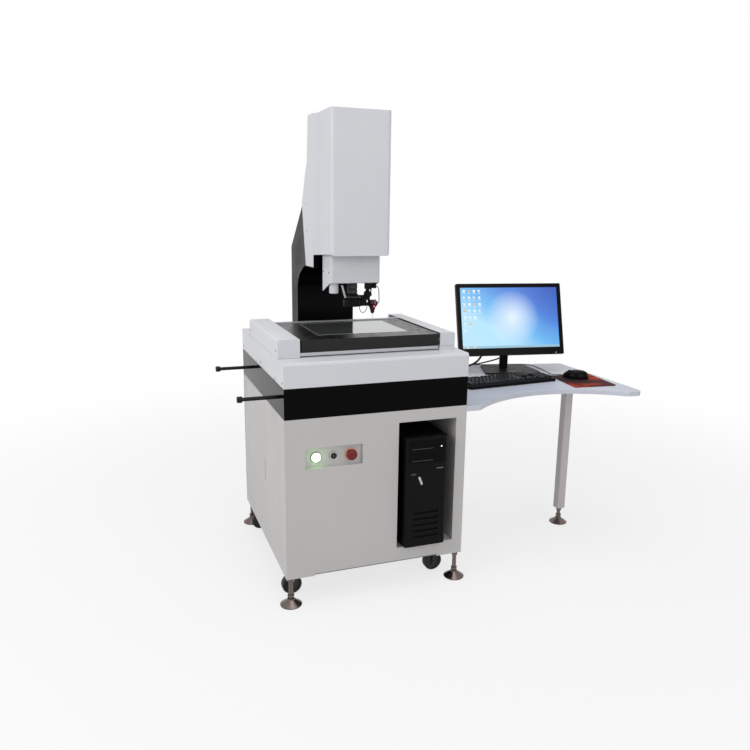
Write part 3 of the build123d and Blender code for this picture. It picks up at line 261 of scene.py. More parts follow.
def black_granite(name):
    """Polished black granite: near-black ground with fine pale and dark grains."""
    look = Surface(name, 0.12, specular=0.04)
    look.soft_edges(0.0012)
    ground = look.ramp(look.noise(240.0, 6.0, roughness=0.75), (0.35, rgb(3, 3, 4)), (0.75, rgb(12, 12, 13)))
    flecks = look.node("ShaderNodeTexVoronoi")
    flecks.inputs["Scale"].default_value = 420.0
    look.link(look.place, flecks.inputs["Vector"])
    pale = look.ramp(flecks.outputs["Distance"], (0.06, (1, 1, 1, 1)), (0.13, (0, 0, 0, 1)))
    mix = look.node("ShaderNodeMix", data_type="RGBA")
    look.link(pale, mix.inputs["Factor"])
    look.link(ground, mix.inputs["A"])
    mix.inputs["B"].default_value = rgb(44, 44, 46)
    look.colour_by(mix.outputs["Result"])
    look.roughness_by(look.spread(look.noise(12.0, 4.0), 0.07, 0.16))
    return look.material


def mirror_glass(name):
    """The stage's glass plate, as an opaque grey mirror."""
    look = Surface(name, 0.06, metallic=0.8, specular=0.6)
    look.soft_edges(0.0006)
    look.colour_by(look.ramp(look.noise(2.2, 2.0), (0.3, rgb(142, 145, 145)), (0.7, rgb(156, 160, 160))))
    look.roughness_by(look.spread(look.noise(18.0, 5.0), 0.04, 0.1))
    return look.material


def laminate(name):
    """The desk's pale laminate."""
    look = Surface(name, 0.38)
    look.soft_edges(0.001)
    cloud = look.noise(5.0, 5.0)
    look.colour_by(look.ramp(cloud, (0.3, rgb(196, 199, 211)), (0.7, rgb(208, 211, 222))))
    look.roughness_by(look.spread(look.noise(60.0, 4.0), 0.32, 0.46))
    look.bump(look.noise(1100.0, 3.0), 0.12, 0.0001)
    return look.material


def rubber(name, colour, roughness=0.6):
    """Rubber or soft cable sheath."""
    look = Surface(name, roughness)
    look.colour_by(look.ramp(look.noise(30.0, 4.0), (0.3, scaled(colour, 0.85)), (0.7, scaled(colour, 1.2))))
    look.roughness_by(look.spread(look.noise(90.0, 4.0), roughness - 0.08, roughness + 0.08))
    look.bump(look.noise(1400.0, 2.0), 0.2, 0.0001)
    return look.material


def glowing(name, colour, strength):
    """A lit lamp or diode."""
    look = Surface(name, 0.3)
    look.shader.inputs["Base Color"].default_value = colour
    look.shader.inputs["Emission Color"].default_value = colour
    look.shader.inputs["Emission Strength"].default_value = strength
    look.roughness_by(look.spread(look.noise(200.0), 0.25, 0.4))
    return look.material


CABINET = powder_paint("cabinet_paint_look", rgb(196, 194, 193), 0.5, 0.3, 0.02)
WHITE = powder_paint("white_paint_look", rgb(214, 216, 221), 0.4, 0.15, 0.015)
STRUCTURE = powder_paint("frame_steel_look", rgb(120, 122, 124), 0.5)
COLUMN = powder_paint("column_paint_look", rgb(5, 5, 6), 0.3, 0.1, 0.05, 0.05)
LEG = powder_paint("leg_paint_look", rgb(202, 194, 197), 0.3)
GRANITE = black_granite("granite_look")
BLACK_ALLOY = anodised("black_alloy_look", rgb(12, 12, 13), 0.3, 0.2, 0.35)
CAMERA_CASE = anodised("camera_case_look", rgb(70, 71, 74), 0.4)
MOTOR_CASE = anodised("motor_case_look", rgb(22, 22, 24), 0.45, 0.3, 0.3)
CONTROLLER = ground_steel("controller_case_look", rgb(150, 152, 156), 0.35)
PROBE_CASE = anodised("probe_case_look", rgb(48, 6, 16), 0.3, 0.3, 0.3)
PALE_ALLOY = ground_steel("saddle_alloy_look", rgb(182, 184, 188), 0.34)
GUIDE = ground_steel("guide_steel_look", rgb(188, 190, 194), 0.24, (1200.0, 40.0, 1200.0))
SCREW = plated_steel("screw_steel_look", rgb(200, 202, 206), 0.16)
CHROME = plated_steel("chromed_steel_look", rgb(112, 100, 96), 0.16)
FORK = ground_steel("castor_fork_look", rgb(70, 68, 68), 0.4)
TREAD = rubber("castor_tread_look", rgb(12, 12, 13), 0.6)
BLACK_PLASTIC = moulded_plastic("black_plastic_look", rgb(7, 7, 8), 0.42, 0.3, 0.1)
BLACK_CASE = powder_paint("black_case_look", rgb(4, 4, 5), 0.34, 0.2, 0.05, 0.03)
KEYS = moulded_plastic("key_cap_look", rgb(14, 14, 15), 0.4, 0.3, 0.22)
BAR = powder_paint("lifting_bar_look", rgb(10, 10, 11), 0.35, 0.2, 0.05, 0.2)
GLOSS_BLACK = gloss_plastic("gloss_black_look", rgb(5, 5, 6), 0.2, 0.06, 0.02)
GREEN = gloss_plastic("green_button_look", rgb(2, 36, 18), 0.24, 0.3, 0.15)
RED = gloss_plastic("red_button_look", rgb(112, 3, 9), 0.24, 0.3, 0.15)
STOP_RING = moulded_plastic("yellow_ring_look", rgb(224, 178, 142), 0.4)
COLLAR = plated_steel("button_collar_look", rgb(196, 196, 194), 0.2)
CABLE = rubber("cable_look", rgb(16, 16, 17), 0.45)
RUBBER = rubber("rubber_look", rgb(24, 24, 25), 0.7)
GLASS = mirror_glass("stage_glass_look")
DESK = laminate("desk_board_look")
LAMP = glowing("lamp_lens_look", rgb(170, 246, 140), 9.0)
RED_LED = glowing("red_led_look", rgb(255, 90, 120), 2.2)
WHITE_LED = glowing("white_led_look", rgb(240, 244, 250), 1.0)
# This grey draws the drive slots' lines and also a painted highlight on the computer's bezel.
SLOT_LINE_AND_HIGHLIGHT_GREY = moulded_plastic("drive_line_and_highlight_look", rgb(58, 58, 60), 0.4)
TRIM_SILVER = moulded_plastic("silver_trim_look", rgb(196, 198, 202), 0.3)
# Painted highlight: a rose tone for light caught on the computer's bezel.
ROSE_HIGHLIGHT = moulded_plastic("rose_highlight_look", rgb(128, 112, 114), 0.3)
# Painted highlight: a grey for the slanted strip beside the lens barrel.
SLANTED_HIGHLIGHT_GREY = ground_steel("slanted_highlight_look", rgb(150, 151, 154), 0.35)

by_slot = {
    "frame_steel": STRUCTURE, "cabinet_paint": CABINET, "controller_case": CONTROLLER, "lamp_lens": LAMP,
    "green_button": GREEN, "red_button": RED, "black_case": BLACK_CASE, "black_plastic": BLACK_PLASTIC,
    "granite": GRANITE, "chromed_steel": CHROME, "white_paint": WHITE, "guide_steel": GUIDE,
    "screw_steel": SCREW, "saddle_alloy": PALE_ALLOY, "motor_case": MOTOR_CASE, "black_alloy": BLACK_ALLOY,
    "stage_glass": GLASS, "column_paint": COLUMN, "camera_case": CAMERA_CASE, "probe_case": PROBE_CASE,
    "desk_board": DESK, "leg_paint": LEG, "gloss_black": GLOSS_BLACK, "screen_glass": GLOSS_BLACK,
    "pad_rubber": RUBBER, "cable_rubber": CABLE, "castor_zinc": FORK, "castor_nylon": TREAD,
}
for entry in frame["record"]["subparts"]:
    surface = nodes[entry["node"]]
    surface.data.materials.clear()
    surface.data.materials.append(by_slot[entry["material_slot"]])
nodes["lifting_bars"].data.materials[0] = BAR


# Shapes
def finish_mesh(name, mesh, material, body, smooth=True):
    """Makes a mesh into a piece of its own that rides on a body."""
    mesh.materials.append(material)
    piece = bpy.data.objects.new(name, mesh)
    bpy.context.scene.collection.objects.link(piece)
    if smooth:
        mesh.shade_smooth()
        sharp = piece.modifiers.new("smooth_by_angle", "WEIGHTED_NORMAL")
        sharp.keep_sharp = True
        mesh.set_sharp_from_angle(angle=radians(35))
    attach(piece, body)
    return piece


def slab(name, low, high, material, body, bevel=0.6):
    """A block with rounded edges between two corners given in millimetres."""
    low, high = Vector(low), Vector(high)
    shape = bmesh.new()
    bmesh.ops.create_cube(shape, size=1.0)
    size = high - low
    for vertex in shape.verts:
        vertex.co = Vector((vertex.co.x * size.x, vertex.co.y * size.y, vertex.co.z * size.z)) * MM
    bmesh.ops.bevel(shape, geom=shape.edges[:], offset=bevel * MM, segments=2, profile=0.5,
                    affect="EDGES", clamp_overlap=True)
    shape.transform(Matrix.Translation(at(*((low + high) / 2))))
    mesh = bpy.data.meshes.new(name)
    shape.to_mesh(mesh)
    shape.free()
    return finish_mesh(name, mesh, material, body)


def turned(name, profile, place, axis, material, body, steps=48):
    """A body of revolution. The profile is (radius, distance along the axis) in millimetres."""
    shape = bmesh.new()
    rings = []
    for radius, along in profile:
        if radius == 0:
            rings.append([shape.verts.new((0, 0, along * MM))])
            continue
        ring = []
        for step in range(steps):
            angle = 2 * pi * step / steps
            ring.append(shape.verts.new((radius * MM * cos(angle), radius * MM * sin(angle), along * MM)))
        rings.append(ring)
    for lower, upper in zip(rings, rings[1:]):
        for step in range(steps):
            following = (step + 1) % steps
            if len(lower) == 1:
                shape.faces.new((lower[0], upper[following], upper[step]))
            elif len(upper) == 1:
                shape.faces.new((lower[step], lower[following], upper[0]))
            else:
                shape.faces.new((lower[step], lower[following], upper[following], upper[step]))
    bmesh.ops.recalc_face_normals(shape, faces=shape.faces)
    turn = Vector((0, 0, 1)).rotation_difference(Vector(axis)).to_matrix().to_4x4()
    shape.transform(Matrix.Translation(at(*place)) @ turn)
    mesh = bpy.data.meshes.new(name)
    shape.to_mesh(mesh)
    shape.free()
    return finish_mesh(name, mesh, material, body)


def domed_screw(name, place, axis, radius, body, material=CHROME):
    """A pan-head screw with a driver recess."""
    profile = [(0, -0.5), (radius, -0.5), (radius, 0.2), (radius * 0.9, 0.8), (radius * 0.6, 1.25),
               (radius * 0.38, 1.35), (radius * 0.3, 0.5), (0, 0.4)]
    return turned(name, profile, place, axis, material, body, 20)


def outline_plate(name, outline, thickness, plane, material, body, bevel=0.5):
    """A plate with an outline in millimetres, on a plane given as a matrix."""
    shape = bmesh.new()
    bottom = [shape.verts.new((x * MM, y * MM, 0)) for x, y in outline]
    face = shape.faces.new(bottom)
    raised = bmesh.ops.extrude_face_region(shape, geom=[face])
    top = [item for item in raised["geom"] if isinstance(item, bmesh.types.BMVert)]
    bmesh.ops.translate(shape, verts=top, vec=(0, 0, thickness * MM))
    bmesh.ops.recalc_face_normals(shape, faces=shape.faces)
    upper = [edge for edge in shape.edges if all(vertex in top for vertex in edge.verts)]
    if bevel:
        bmesh.ops.bevel(shape, geom=upper, offset=bevel * MM, segments=2, profile=0.5, affect="EDGES")
    shape.transform(plane)
    mesh = bpy.data.meshes.new(name)
    shape.to_mesh(mesh)
    shape.free()
    return finish_mesh(name, mesh, material, body)


def rounded_outline(width, depth, radius, steps=6):
    """A rectangle's outline with rounded corners, about its centre."""
    points = []
    for corner in range(4):
        start = corner * pi / 2
        across = (width / 2 - radius) * (1 if corner in (0, 3) else -1)
        back = (depth / 2 - radius) * (1 if corner in (0, 1) else -1)
        for step in range(steps + 1):
            angle = start + step * pi / 2 / steps
            points.append((across + radius * cos(angle), back + radius * sin(angle)))
    return points


def plane_at(place, x_dir, z_dir):
    """A plane's matrix from a machine point and two directions."""
    across = Vector(x_dir).normalized()
    out = Vector(z_dir).normalized()
    back = out.cross(across).normalized()
    return Matrix.Translation(at(*place)) @ Matrix((across, back, out)).transposed().to_4x4()


TO_FRONT = (0, -1, 0)
UPWARD = (0, 0, 1)

# Computer front
pc_low, pc_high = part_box("pc_bezel")
pc_left = (pc_low.x - ZERO.x) / MM
pc_right = (pc_high.x - ZERO.x) / MM
pc_top = pc_high.z / MM
pc_front = (pc_low.y - ZERO.y) / MM


def computer_front():
    """Drive faces, a power light, two painted highlights and a latch on the tower's bezel."""
    for number, drop in enumerate((32, 78)):
        high = pc_top - drop
        slab(f"drive_face_{number}", (pc_left + 15, pc_front - 1.4, high - 17),
             (pc_right - 15, pc_front + 3.2, high + 17), GLOSS_BLACK, "machine", 1.0)
        slab(f"drive_slot_{number}", (pc_left + 20, pc_front - 1.7, high - 12),
             (pc_right - 60, pc_front - 1.0, high - 10), SLOT_LINE_AND_HIGHLIGHT_GREY, "machine", 0.2)
    turned("power_light", [(0, 0), (2.6, 0), (2.6, 1.0), (1.8, 1.6), (0, 1.8)],
           (pc_right - 27, pc_front - 1.3, pc_top - 39), TO_FRONT, WHITE_LED, "machine", 20)
    # Painted highlights: a grey strip and a rose strip stand for light caught on the bezel's curved handle.
    slab("painted_highlight_left", (pc_left + 20, pc_front - 0.3, 464), (pc_left + 40, pc_front + 1.2, 470),
         SLOT_LINE_AND_HIGHLIGHT_GREY, "machine", 0.5)
    slab("painted_highlight_right", (pc_right - 44, pc_front - 0.3, 481), (pc_right - 16, pc_front + 1.2, 484.5),
         ROSE_HIGHLIGHT, "machine", 0.5)
    lean = radians(112.0)
    plane = plane_at((pc_left + 58, pc_front + 0.2, 440), (cos(lean), 0, sin(lean)), TO_FRONT)
    outline_plate("front_latch", rounded_outline(34, 8, 3), 1.6, plane, TRIM_SILVER, "machine", 0.4)


# Light panel under the stage
def stage_light():
    """The pale light panel between the saddle and the table."""
    slab("light_panel", (-150, 200, 922.1), (150, 440, 928), WHITE_LED, "y_axis", 1.5)


# Control recess
recess_z = 559.5
recess_plate = 14.0
lamp_x = -235
start_x = -170
stop_x = -105


def recess_rings():
    """The lamp's ring, the start button's collar, and the stop's disc and collar, on the recess's back plate."""
    for name, profile, x, material in (
        ("lamp_ring", [(15.5, 0), (19, 0), (19, 3), (18, 4.2), (16.2, 4.2), (16.2, 0)], lamp_x, CHROME),
        ("start_collar", [(11.4, 0), (17, 0), (17, 4), (15.6, 6), (12, 6), (11.4, 4), (11.4, 0)], start_x, COLLAR),
        ("stop_disc", [(11.4, 0), (25, 0), (25, 0.8), (24.2, 1.2), (11.4, 1.2), (11.4, 0)], stop_x, STOP_RING),
        ("stop_collar", [(11.6, 1.2), (16, 1.2), (16, 4.2), (15, 5), (11.6, 5), (11.6, 1.2)], stop_x, BLACK_PLASTIC),
    ):
        turned(name, profile, (x, recess_plate, recess_z), TO_FRONT, material, "machine")


# Screws
def cover_screws():
    """Screws in the shroud, the base cover and the fairings."""
    for y in (309, 383):
        domed_screw(f"shroud_screw_{y}", (-99, y, 1184), (-1, 0, 0), 4.2, "z_axis")
        domed_screw(f"shroud_screw_right_{y}", (99, y, 1184), (1, 0, 0), 4.2, "z_axis")
    for y in (24, 400, 771):
        for x in (-350, 350):
            domed_screw(f"cover_screw_{x}_{y}", (x, y, 834), (x, 0, 0), 4.0, "machine")
    for y in (120, 600):
        domed_screw(f"fairing_screw_{y}", (-350, y, 930), (-1, 0, 0), 3.6, "y_axis")


# Stage: the pale seal round the glass
optical_y = 322
glass_half_width = 177
glass_half_depth = 142
seal_half = 1.4
seal_low = 966
seal_high = 968.25


def glass_joint():
    """A thin pale seal in the joint between the glass and the table."""
    for side in (-1, 1):
        x = side * glass_half_width
        slab(f"seal_side_{side}", (x - seal_half, 180.6, seal_low), (x + seal_half, 463.4, seal_high), PALE_ALLOY,
             "x_axis", 0.2)
        y = optical_y + side * glass_half_depth
        slab(f"seal_end_{side}", (-178.4, y - seal_half, seal_low), (178.4, y + seal_half, seal_high), PALE_ALLOY,
             "x_axis", 0.2)


# Lens and probe
def lens_details():
    """Rings on the barrel, a slanted grey strip beside it that is a painted highlight, the drive's sleeve, the ring
    light's diodes, and the probe's.
    """
    for z in (1108, 1126, 1150):
        turned(f"barrel_ring_{z}", [(18.8, 0), (20.2, 0.6), (20.2, 3.4), (18.8, 4)], (0, optical_y, z), UPWARD,
               CAMERA_CASE, "z_axis")
    # Painted highlight: a slanted grey strip beside the barrel.
    strip = plane_at((0, 311, 0), (1, 0, 0), TO_FRONT)
    outline_plate("painted_highlight_strip", [(-50, 1135), (-42, 1135), (-28, 1086), (-36, 1086)], 2, strip, SLANTED_HIGHLIGHT_GREY,
                  "z_axis", 0.4)
    turned("drive_sleeve", [(0, 0), (16, 0), (17.4, 1.4), (17.4, 41), (17.0, 42), (0, 42)],
           (-75, optical_y, 1103.6), UPWARD, WHITE, "z_axis")
    turned("ring_light_diodes", [(19, 0), (30, 0), (30, 0.8), (19, 0.8)], (0, optical_y, 1052.2), UPWARD, WHITE_LED,
           "z_axis")
    turned("probe_diode", [(0, 0), (2.4, 0), (2.4, 1), (1.6, 1.8), (0, 2)], (86, 309.6, 1050), TO_FRONT, RED_LED,
           "touch_probe", 16)
    turned("probe_band", [(15, 0), (15.5, 0.4), (15.5, 3.6), (15, 4)], (88, optical_y, 1060), (1, 0, 0), CHROME,
           "touch_probe")


# Screen
screen_centre = Vector((825.0, 510.0, 943.0))
screen_yaw = radians(-8.5)
screen_tilt = radians(16.6)
screen_right = Vector((cos(screen_yaw), sin(screen_yaw), 0))
screen_out = Vector((sin(screen_yaw) * cos(screen_tilt), -cos(screen_yaw) * cos(screen_tilt), sin(screen_tilt)))
screen_up = screen_out.cross(screen_right)
picture_wide = 468.0
picture_high = 277.5
picture_up = 7.75
key_row_down = -157.0
UNLIT = (0.01, 0.01, 0.012, 1)


def panel_point(right, up, depth):
    """A machine point from the screen's own directions, as part.py has it."""
    return screen_centre + screen_right * right + screen_up * up - screen_out * depth


def lit(name, colour, strength=1.0):
    """A plain lit tone on the screen, with the panel's faint grain."""
    look = Surface(name, 0.25)
    tone = look.ramp(look.noise(300.0, 2.0), (0.3, scaled(colour, 0.96)), (0.7, colour))
    look.shader.inputs["Base Color"].default_value = UNLIT
    look.link(tone, look.shader.inputs["Emission Color"])
    look.shader.inputs["Emission Strength"].default_value = strength
    return look.material


def rectangle(left, low, right, high):
    """A rectangle's outline from its left, lower, right and upper sides."""
    return [(left, low), (right, low), (right, high), (left, high)]


def screen_picture():
    """A plain blue desktop with small icons at its left and a pale bar below."""
    plane = plane_at(panel_point(0, picture_up, 1.42), screen_right, screen_out)
    look = Surface("desktop_look", 0.2)
    parts = look.node("ShaderNodeSeparateXYZ")
    look.link(look.place, parts.inputs["Vector"])
    middle = at(*panel_point(0, picture_up, 0))
    across = look.spread(parts.outputs["X"], 0.0, 1.0, middle.x - 0.234, middle.x + 0.234)
    height = look.spread(parts.outputs["Z"], 1.0, 0.0, middle.z - 0.133, middle.z + 0.133)
    fall = look.math("SUBTRACT", look.math("MULTIPLY", across, 0.55), look.math("MULTIPLY", height, 0.45))
    cloud = look.math("MULTIPLY_ADD", look.noise(5.0, 1.0), 0.22, fall)
    tone = look.ramp(
        look.spread(cloud, 0.0, 1.0, -0.34, 0.62), (0.0, rgb(176, 222, 242)), (0.3, rgb(170, 220, 244)),
        (0.5, rgb(96, 178, 236)), (0.75, rgb(52, 120, 216)), (1.0, rgb(28, 84, 186)),
    )
    glow = look.node("ShaderNodeVectorMath", operation="DISTANCE")
    look.link(look.place, glow.inputs[0])
    glow.inputs[1].default_value = at(*panel_point(10, picture_up, 0))
    near = look.spread(glow.outputs["Value"], 0.85, 0.0, 0.0, 0.13)
    bright = look.node("ShaderNodeMix", data_type="RGBA")
    look.link(near, bright.inputs["Factor"])
    look.link(tone, bright.inputs["A"])
    bright.inputs["B"].default_value = rgb(236, 245, 254)
    look.shader.inputs["Base Color"].default_value = UNLIT
    look.link(bright.outputs["Result"], look.shader.inputs["Emission Color"])
    look.shader.inputs["Emission Strength"].default_value = 1.0
    half_wide = picture_wide / 2
    half_high = picture_high / 2
    picture = rectangle(-half_wide, -half_high, half_wide, half_high)
    outline_plate("desktop", picture, 0.1, plane, look.material, "display", 0)
    bar = lit("task_bar_look", rgb(150, 196, 220), 0.9)
    low = -half_high
    over = plane @ Matrix.Translation((0, 0, 0.12 * MM))
    outline_plate("task_bar", rectangle(-half_wide, low, half_wide, low + 11), 0.1, over, bar, "display", 0)
    icon = lit("icon_look", rgb(232, 240, 246), 1.0)
    warm = lit("warm_icon_look", rgb(240, 190, 120), 0.9)
    above = plane @ Matrix.Translation((0, 0, 0.24 * MM))
    for column in range(4):
        for row in range(7 - column):
            left = -half_wide + 10 + 24 * column
            top = half_high - 10 - 30 * row
            wide = 11 - (row * 3 + column * 2) % 4
            tint = warm if (row * 2 + column) % 5 == 1 else icon
            outline_plate(f"icon_{column}_{row}", rectangle(left + 2, top - wide, left + 2 + wide, top),
                          0.08, above, tint, "display", 0)
            outline_plate(f"icon_name_{column}_{row}", rectangle(left, top - 17, left + 15, top - 15.2),
                          0.08, above, icon, "display", 0)
    for number in range(5):
        left = -half_wide + 6 + 15 * number
        outline_plate(f"bar_icon_{number}", rectangle(left, low + 2.5, left + 7, low + 8.5),
                      0.08, above, icon if number % 2 else warm, "display", 0)
    for number in range(4):
        spot = panel_point(150 + 15 * number, key_row_down, -0.2)
        turned(f"screen_key_{number}", [(0, 0), (3.2, 0), (3.2, 0.7), (2.6, 1.2), (0, 1.2)], spot, screen_out,
               BLACK_PLASTIC, "display", 16)
    turned("screen_light", [(0, 0), (1.3, 0), (1.3, 0.6), (0, 0.9)], panel_point(214, key_row_down, -0.2), screen_out,
           WHITE_LED, "display", 12)


# Keyboard
desk_top = 700
keyboard_turn = radians(4.6)
key_pitch = 18.6
key_gap = 2.4


def key_rows():
    """The keys as (left, row from the front, width) in key units, row 5 at the back."""
    rows = [
        [1.25, 1.25, 1.25, 6.25, 1.25, 1.25, 1.25, 1.25],
        [2.25] + [1.0] * 10 + [2.75],
        [1.75] + [1.0] * 11 + [2.25],
        [1.5] + [1.0] * 12 + [1.5],
        [1.0] * 13 + [2.0],
    ]
    keys = []
    for row, widths in enumerate(rows):
        left = 0.0
        for width in widths:
            keys.append((left, row, width))
            left += width
    keys += [(0.0, 5.35, 1.0)]
    keys += [(2.0 + number + 0.5 * (number // 4), 5.35, 1.0) for number in range(12)]
    keys += [(15.4 + number, row, 1.0) for row in (3, 4, 5.35) for number in range(3)]
    keys += [(15.4 + number, 0, 1.0) for number in range(3)] + [(16.4, 1, 1.0)]
    keys += [(18.8 + number, row, 1.0) for row in (1, 2, 3, 4) for number in range(4)]
    keys += [(18.8, 0, 2.0), (20.8, 0, 1.0), (21.8, 0, 1.0)]
    return keys


def keyboard():
    """The keyboard's body and its key caps."""
    plane = plane_at((700, 324, desk_top), (cos(keyboard_turn), sin(keyboard_turn), 0), UPWARD)
    body = outline_plate("keyboard_body", rounded_outline(440, 150, 9), 14, plane, BLACK_PLASTIC, "machine", 2.0)
    shape = bmesh.new()
    for left, row, width in key_rows():
        across = -211 + (left + width / 2) * key_pitch
        back = -58 + (row + 0.5) * key_pitch
        half_w = (width * key_pitch - key_gap) / 2
        half_d = (key_pitch - key_gap) / 2
        rings = []
        for inset, high in ((0, 13.0), (0.3, 15.5), (1.9, 21.0), (2.6, 21.8)):
            wide = half_w - inset
            deep = half_d - inset
            rings.append([
                shape.verts.new(((across + dx * wide) * MM, (back + dy * deep) * MM, high * MM))
                for dx, dy in ((-1, -1), (1, -1), (1, 1), (-1, 1))
            ])
        for lower, upper in zip(rings, rings[1:]):
            for number in range(4):
                following = (number + 1) % 4
                shape.faces.new((lower[number], lower[following], upper[following], upper[number]))
        shape.faces.new(rings[-1])
    shape.transform(plane)
    mesh = bpy.data.meshes.new("key_caps")
    shape.to_mesh(mesh)
    shape.free()
    finish_mesh("key_caps", mesh, KEYS, "machine")
    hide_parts("keyboard")


# Mouse, on its pad
pad_thick = 3.0
mouse_spot = Vector((1040.0, 290.0, desk_top + pad_thick))
mouse_ahead = Vector((cos(radians(139.0)), sin(radians(139.0)), 0))


def mouse():
    """A smooth mouse with a wheel."""
    plane = plane_at(mouse_spot, mouse_ahead, UPWARD)
    shape = bmesh.new()
    rings = []
    levels = 12
    around = 48
    for level in range(levels + 1):
        rise = level / levels * pi / 2
        shrink = cos(rise) ** 0.62
        high = 36 * sin(rise) ** 0.9
        ring = []
        for step in range(around):
            angle = 2 * pi * step / around
            x = 57 * shrink * cos(angle) - 7 * sin(rise) ** 2
            y = 32 * shrink * sin(angle) * (1 - 0.1 * cos(2 * angle))
            ring.append(shape.verts.new((x * MM, y * MM, high * MM * (1 - 0.0022 * max(0.0, x)))))
        rings.append(ring)
    for lower, upper in zip(rings, rings[1:]):
        for step in range(around):
            following = (step + 1) % around
            shape.faces.new((lower[step], lower[following], upper[following], upper[step]))
    shape.faces.new(list(reversed(rings[0])))
    bmesh.ops.remove_doubles(shape, verts=shape.verts, dist=0.00001)
    bmesh.ops.recalc_face_normals(shape, faces=shape.faces)
    shape.transform(plane)
    mesh = bpy.data.meshes.new("mouse_shell")
    shape.to_mesh(mesh)
    shape.free()
    shell = finish_mesh("mouse_shell", mesh, GLOSS_BLACK, "machine")
    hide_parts("mouse")
    spot = mouse_spot + mouse_ahead * 27 + Vector((0, 0, 25.5))
    across = Vector((-mouse_ahead.y, mouse_ahead.x, 0))
    turned("mouse_wheel", [(0, -3.5), (7.4, -3.5), (8.4, -2.4), (8.4, 2.4), (7.4, 3.5), (0, 3.5)], spot, across,
           RUBBER, "machine", 32)


# Mouse pad
def mouse_pad_print():
    """The pad's cloth, black with a broad red glow."""
    look = Surface("mouse_pad_look", 0.75, specular=0.2)
    glow = look.noise(7.0, 3.0)
    look.colour_by(look.ramp(glow, (0.42, rgb(14, 12, 13)), (0.54, rgb(86, 16, 10)), (0.66, rgb(188, 62, 26)),
                             (0.8, rgb(60, 14, 12))))
    look.bump(look.noise(1600.0, 2.0), 0.3, 0.0001)
    nodes["mouse_pad"].data.materials[0] = look.material


# Cords: their routes are part.py's own
grommet = 402.0
mouse_nose = mouse_spot + Vector((0, 0, 8.0)) + mouse_ahead * 50.0
socket_depth = 33.6


def free_cord(node, route, diameter, body, material):
    """A cord along its route, in place of the CAD tube."""
    curve = bpy.data.curves.new(node + "_run", "CURVE")
    curve.dimensions = "3D"
    curve.bevel_depth = diameter / 2 * MM
    curve.bevel_resolution = 6
    curve.resolution_u = 10
    curve.use_fill_caps = True
    spline = curve.splines.new("NURBS")
    spline.points.add(len(route) - 1)
    for point, place in zip(spline.points, route):
        point.co = (*at(*place), 1.0)
    spline.order_u = 3
    spline.use_endpoint_u = True
    curve.materials.append(material)
    piece = bpy.data.objects.new(node + "_run", curve)
    bpy.context.scene.collection.objects.link(piece)
    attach(piece, body)
    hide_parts(node)


def all_cords():
    """The screen's two cables, the mouse's cord and the head's two thin cables."""
    start = panel_point(-62, 0, socket_depth)
    free_cord("display_cable", [
        start, start - screen_out * 40, (776, 617, 894), (774, 630, 854), (768, 632, 804),
        (752, 626, 760), (722, 618, 728), (676, 618, 710), (616, 628, 706), (552, 648, 706), (488, 662, 706),
        (438, 668, 706), (grommet, 668, 706),
    ], 10.0, "machine", CABLE)
    start = panel_point(66, 0, socket_depth)
    free_cord("power_cable", [
        start, start - screen_out * 36, (902, 592, 898), (902, 606, 862), (900, 613, 820),
        (893, 616, 782), (874, 620, 754), (844, 628, 736), (806, 640, 724), (752, 654, 711), (704, 662, 705),
        (640, 670, 705), (574, 680, 705), (512, 688, 705), (452, 690, 705), (grommet, 690, 705),
    ], 7.0, "machine", CABLE)
    free_cord("mouse_cord", [
        mouse_nose, mouse_nose + mouse_ahead * 22, (974, 372, 704), (982, 408, 702.5), (990, 448, 702.5),
        (998, 500, 702.5), (1003, 548, 702.5), (999, 588, 702.5), (978, 618, 702.5), (936, 630, 702.5),
        (868, 647, 702.5), (800, 660, 702.5), (736, 676, 702.5), (672, 688, 702.5), (606, 701, 702.5),
        (544, 711, 702.5), (484, 715, 702.5), (440, 714, 702.5), (grommet, 714, 702.5),
    ], 3.5, "machine", CABLE)
    free_cord("probe_cable", [
        (x, optical_y, z) for x, z in (
            (96, 1127), (103, 1127), (109, 1118), (110.5, 1102), (111, 1086), (111.5, 1072), (110, 1060), (103, 1060),
        )
    ], 3.2, "z_axis", CABLE)
    free_cord("light_cable", [
        (x, optical_y, z) for x, z in (
            (30, 1053), (30, 1042), (34, 1031), (42, 1024), (51, 1026), (58, 1035), (61, 1044), (61, 1052),
        )
    ], 2.5, "z_axis", CABLE)


# Studio
def math_node(tree, operation):
    """A new Math node in a node tree."""
    made = tree.nodes.new("ShaderNodeMath")
    made.operation = operation
    return made


def seen_rays(tree, *kinds):
    """An output that is 1 for rays of any of the kinds."""
    rays = tree.nodes.new("ShaderNodeLightPath")
    found = rays.outputs[kinds[0]]
    for kind in kinds[1:]:
        either = math_node(tree, "MAXIMUM")
        tree.links.new(found, either.inputs[0])
        tree.links.new(rays.outputs[kind], either.inputs[1])
        found = either.outputs[0]
    return found


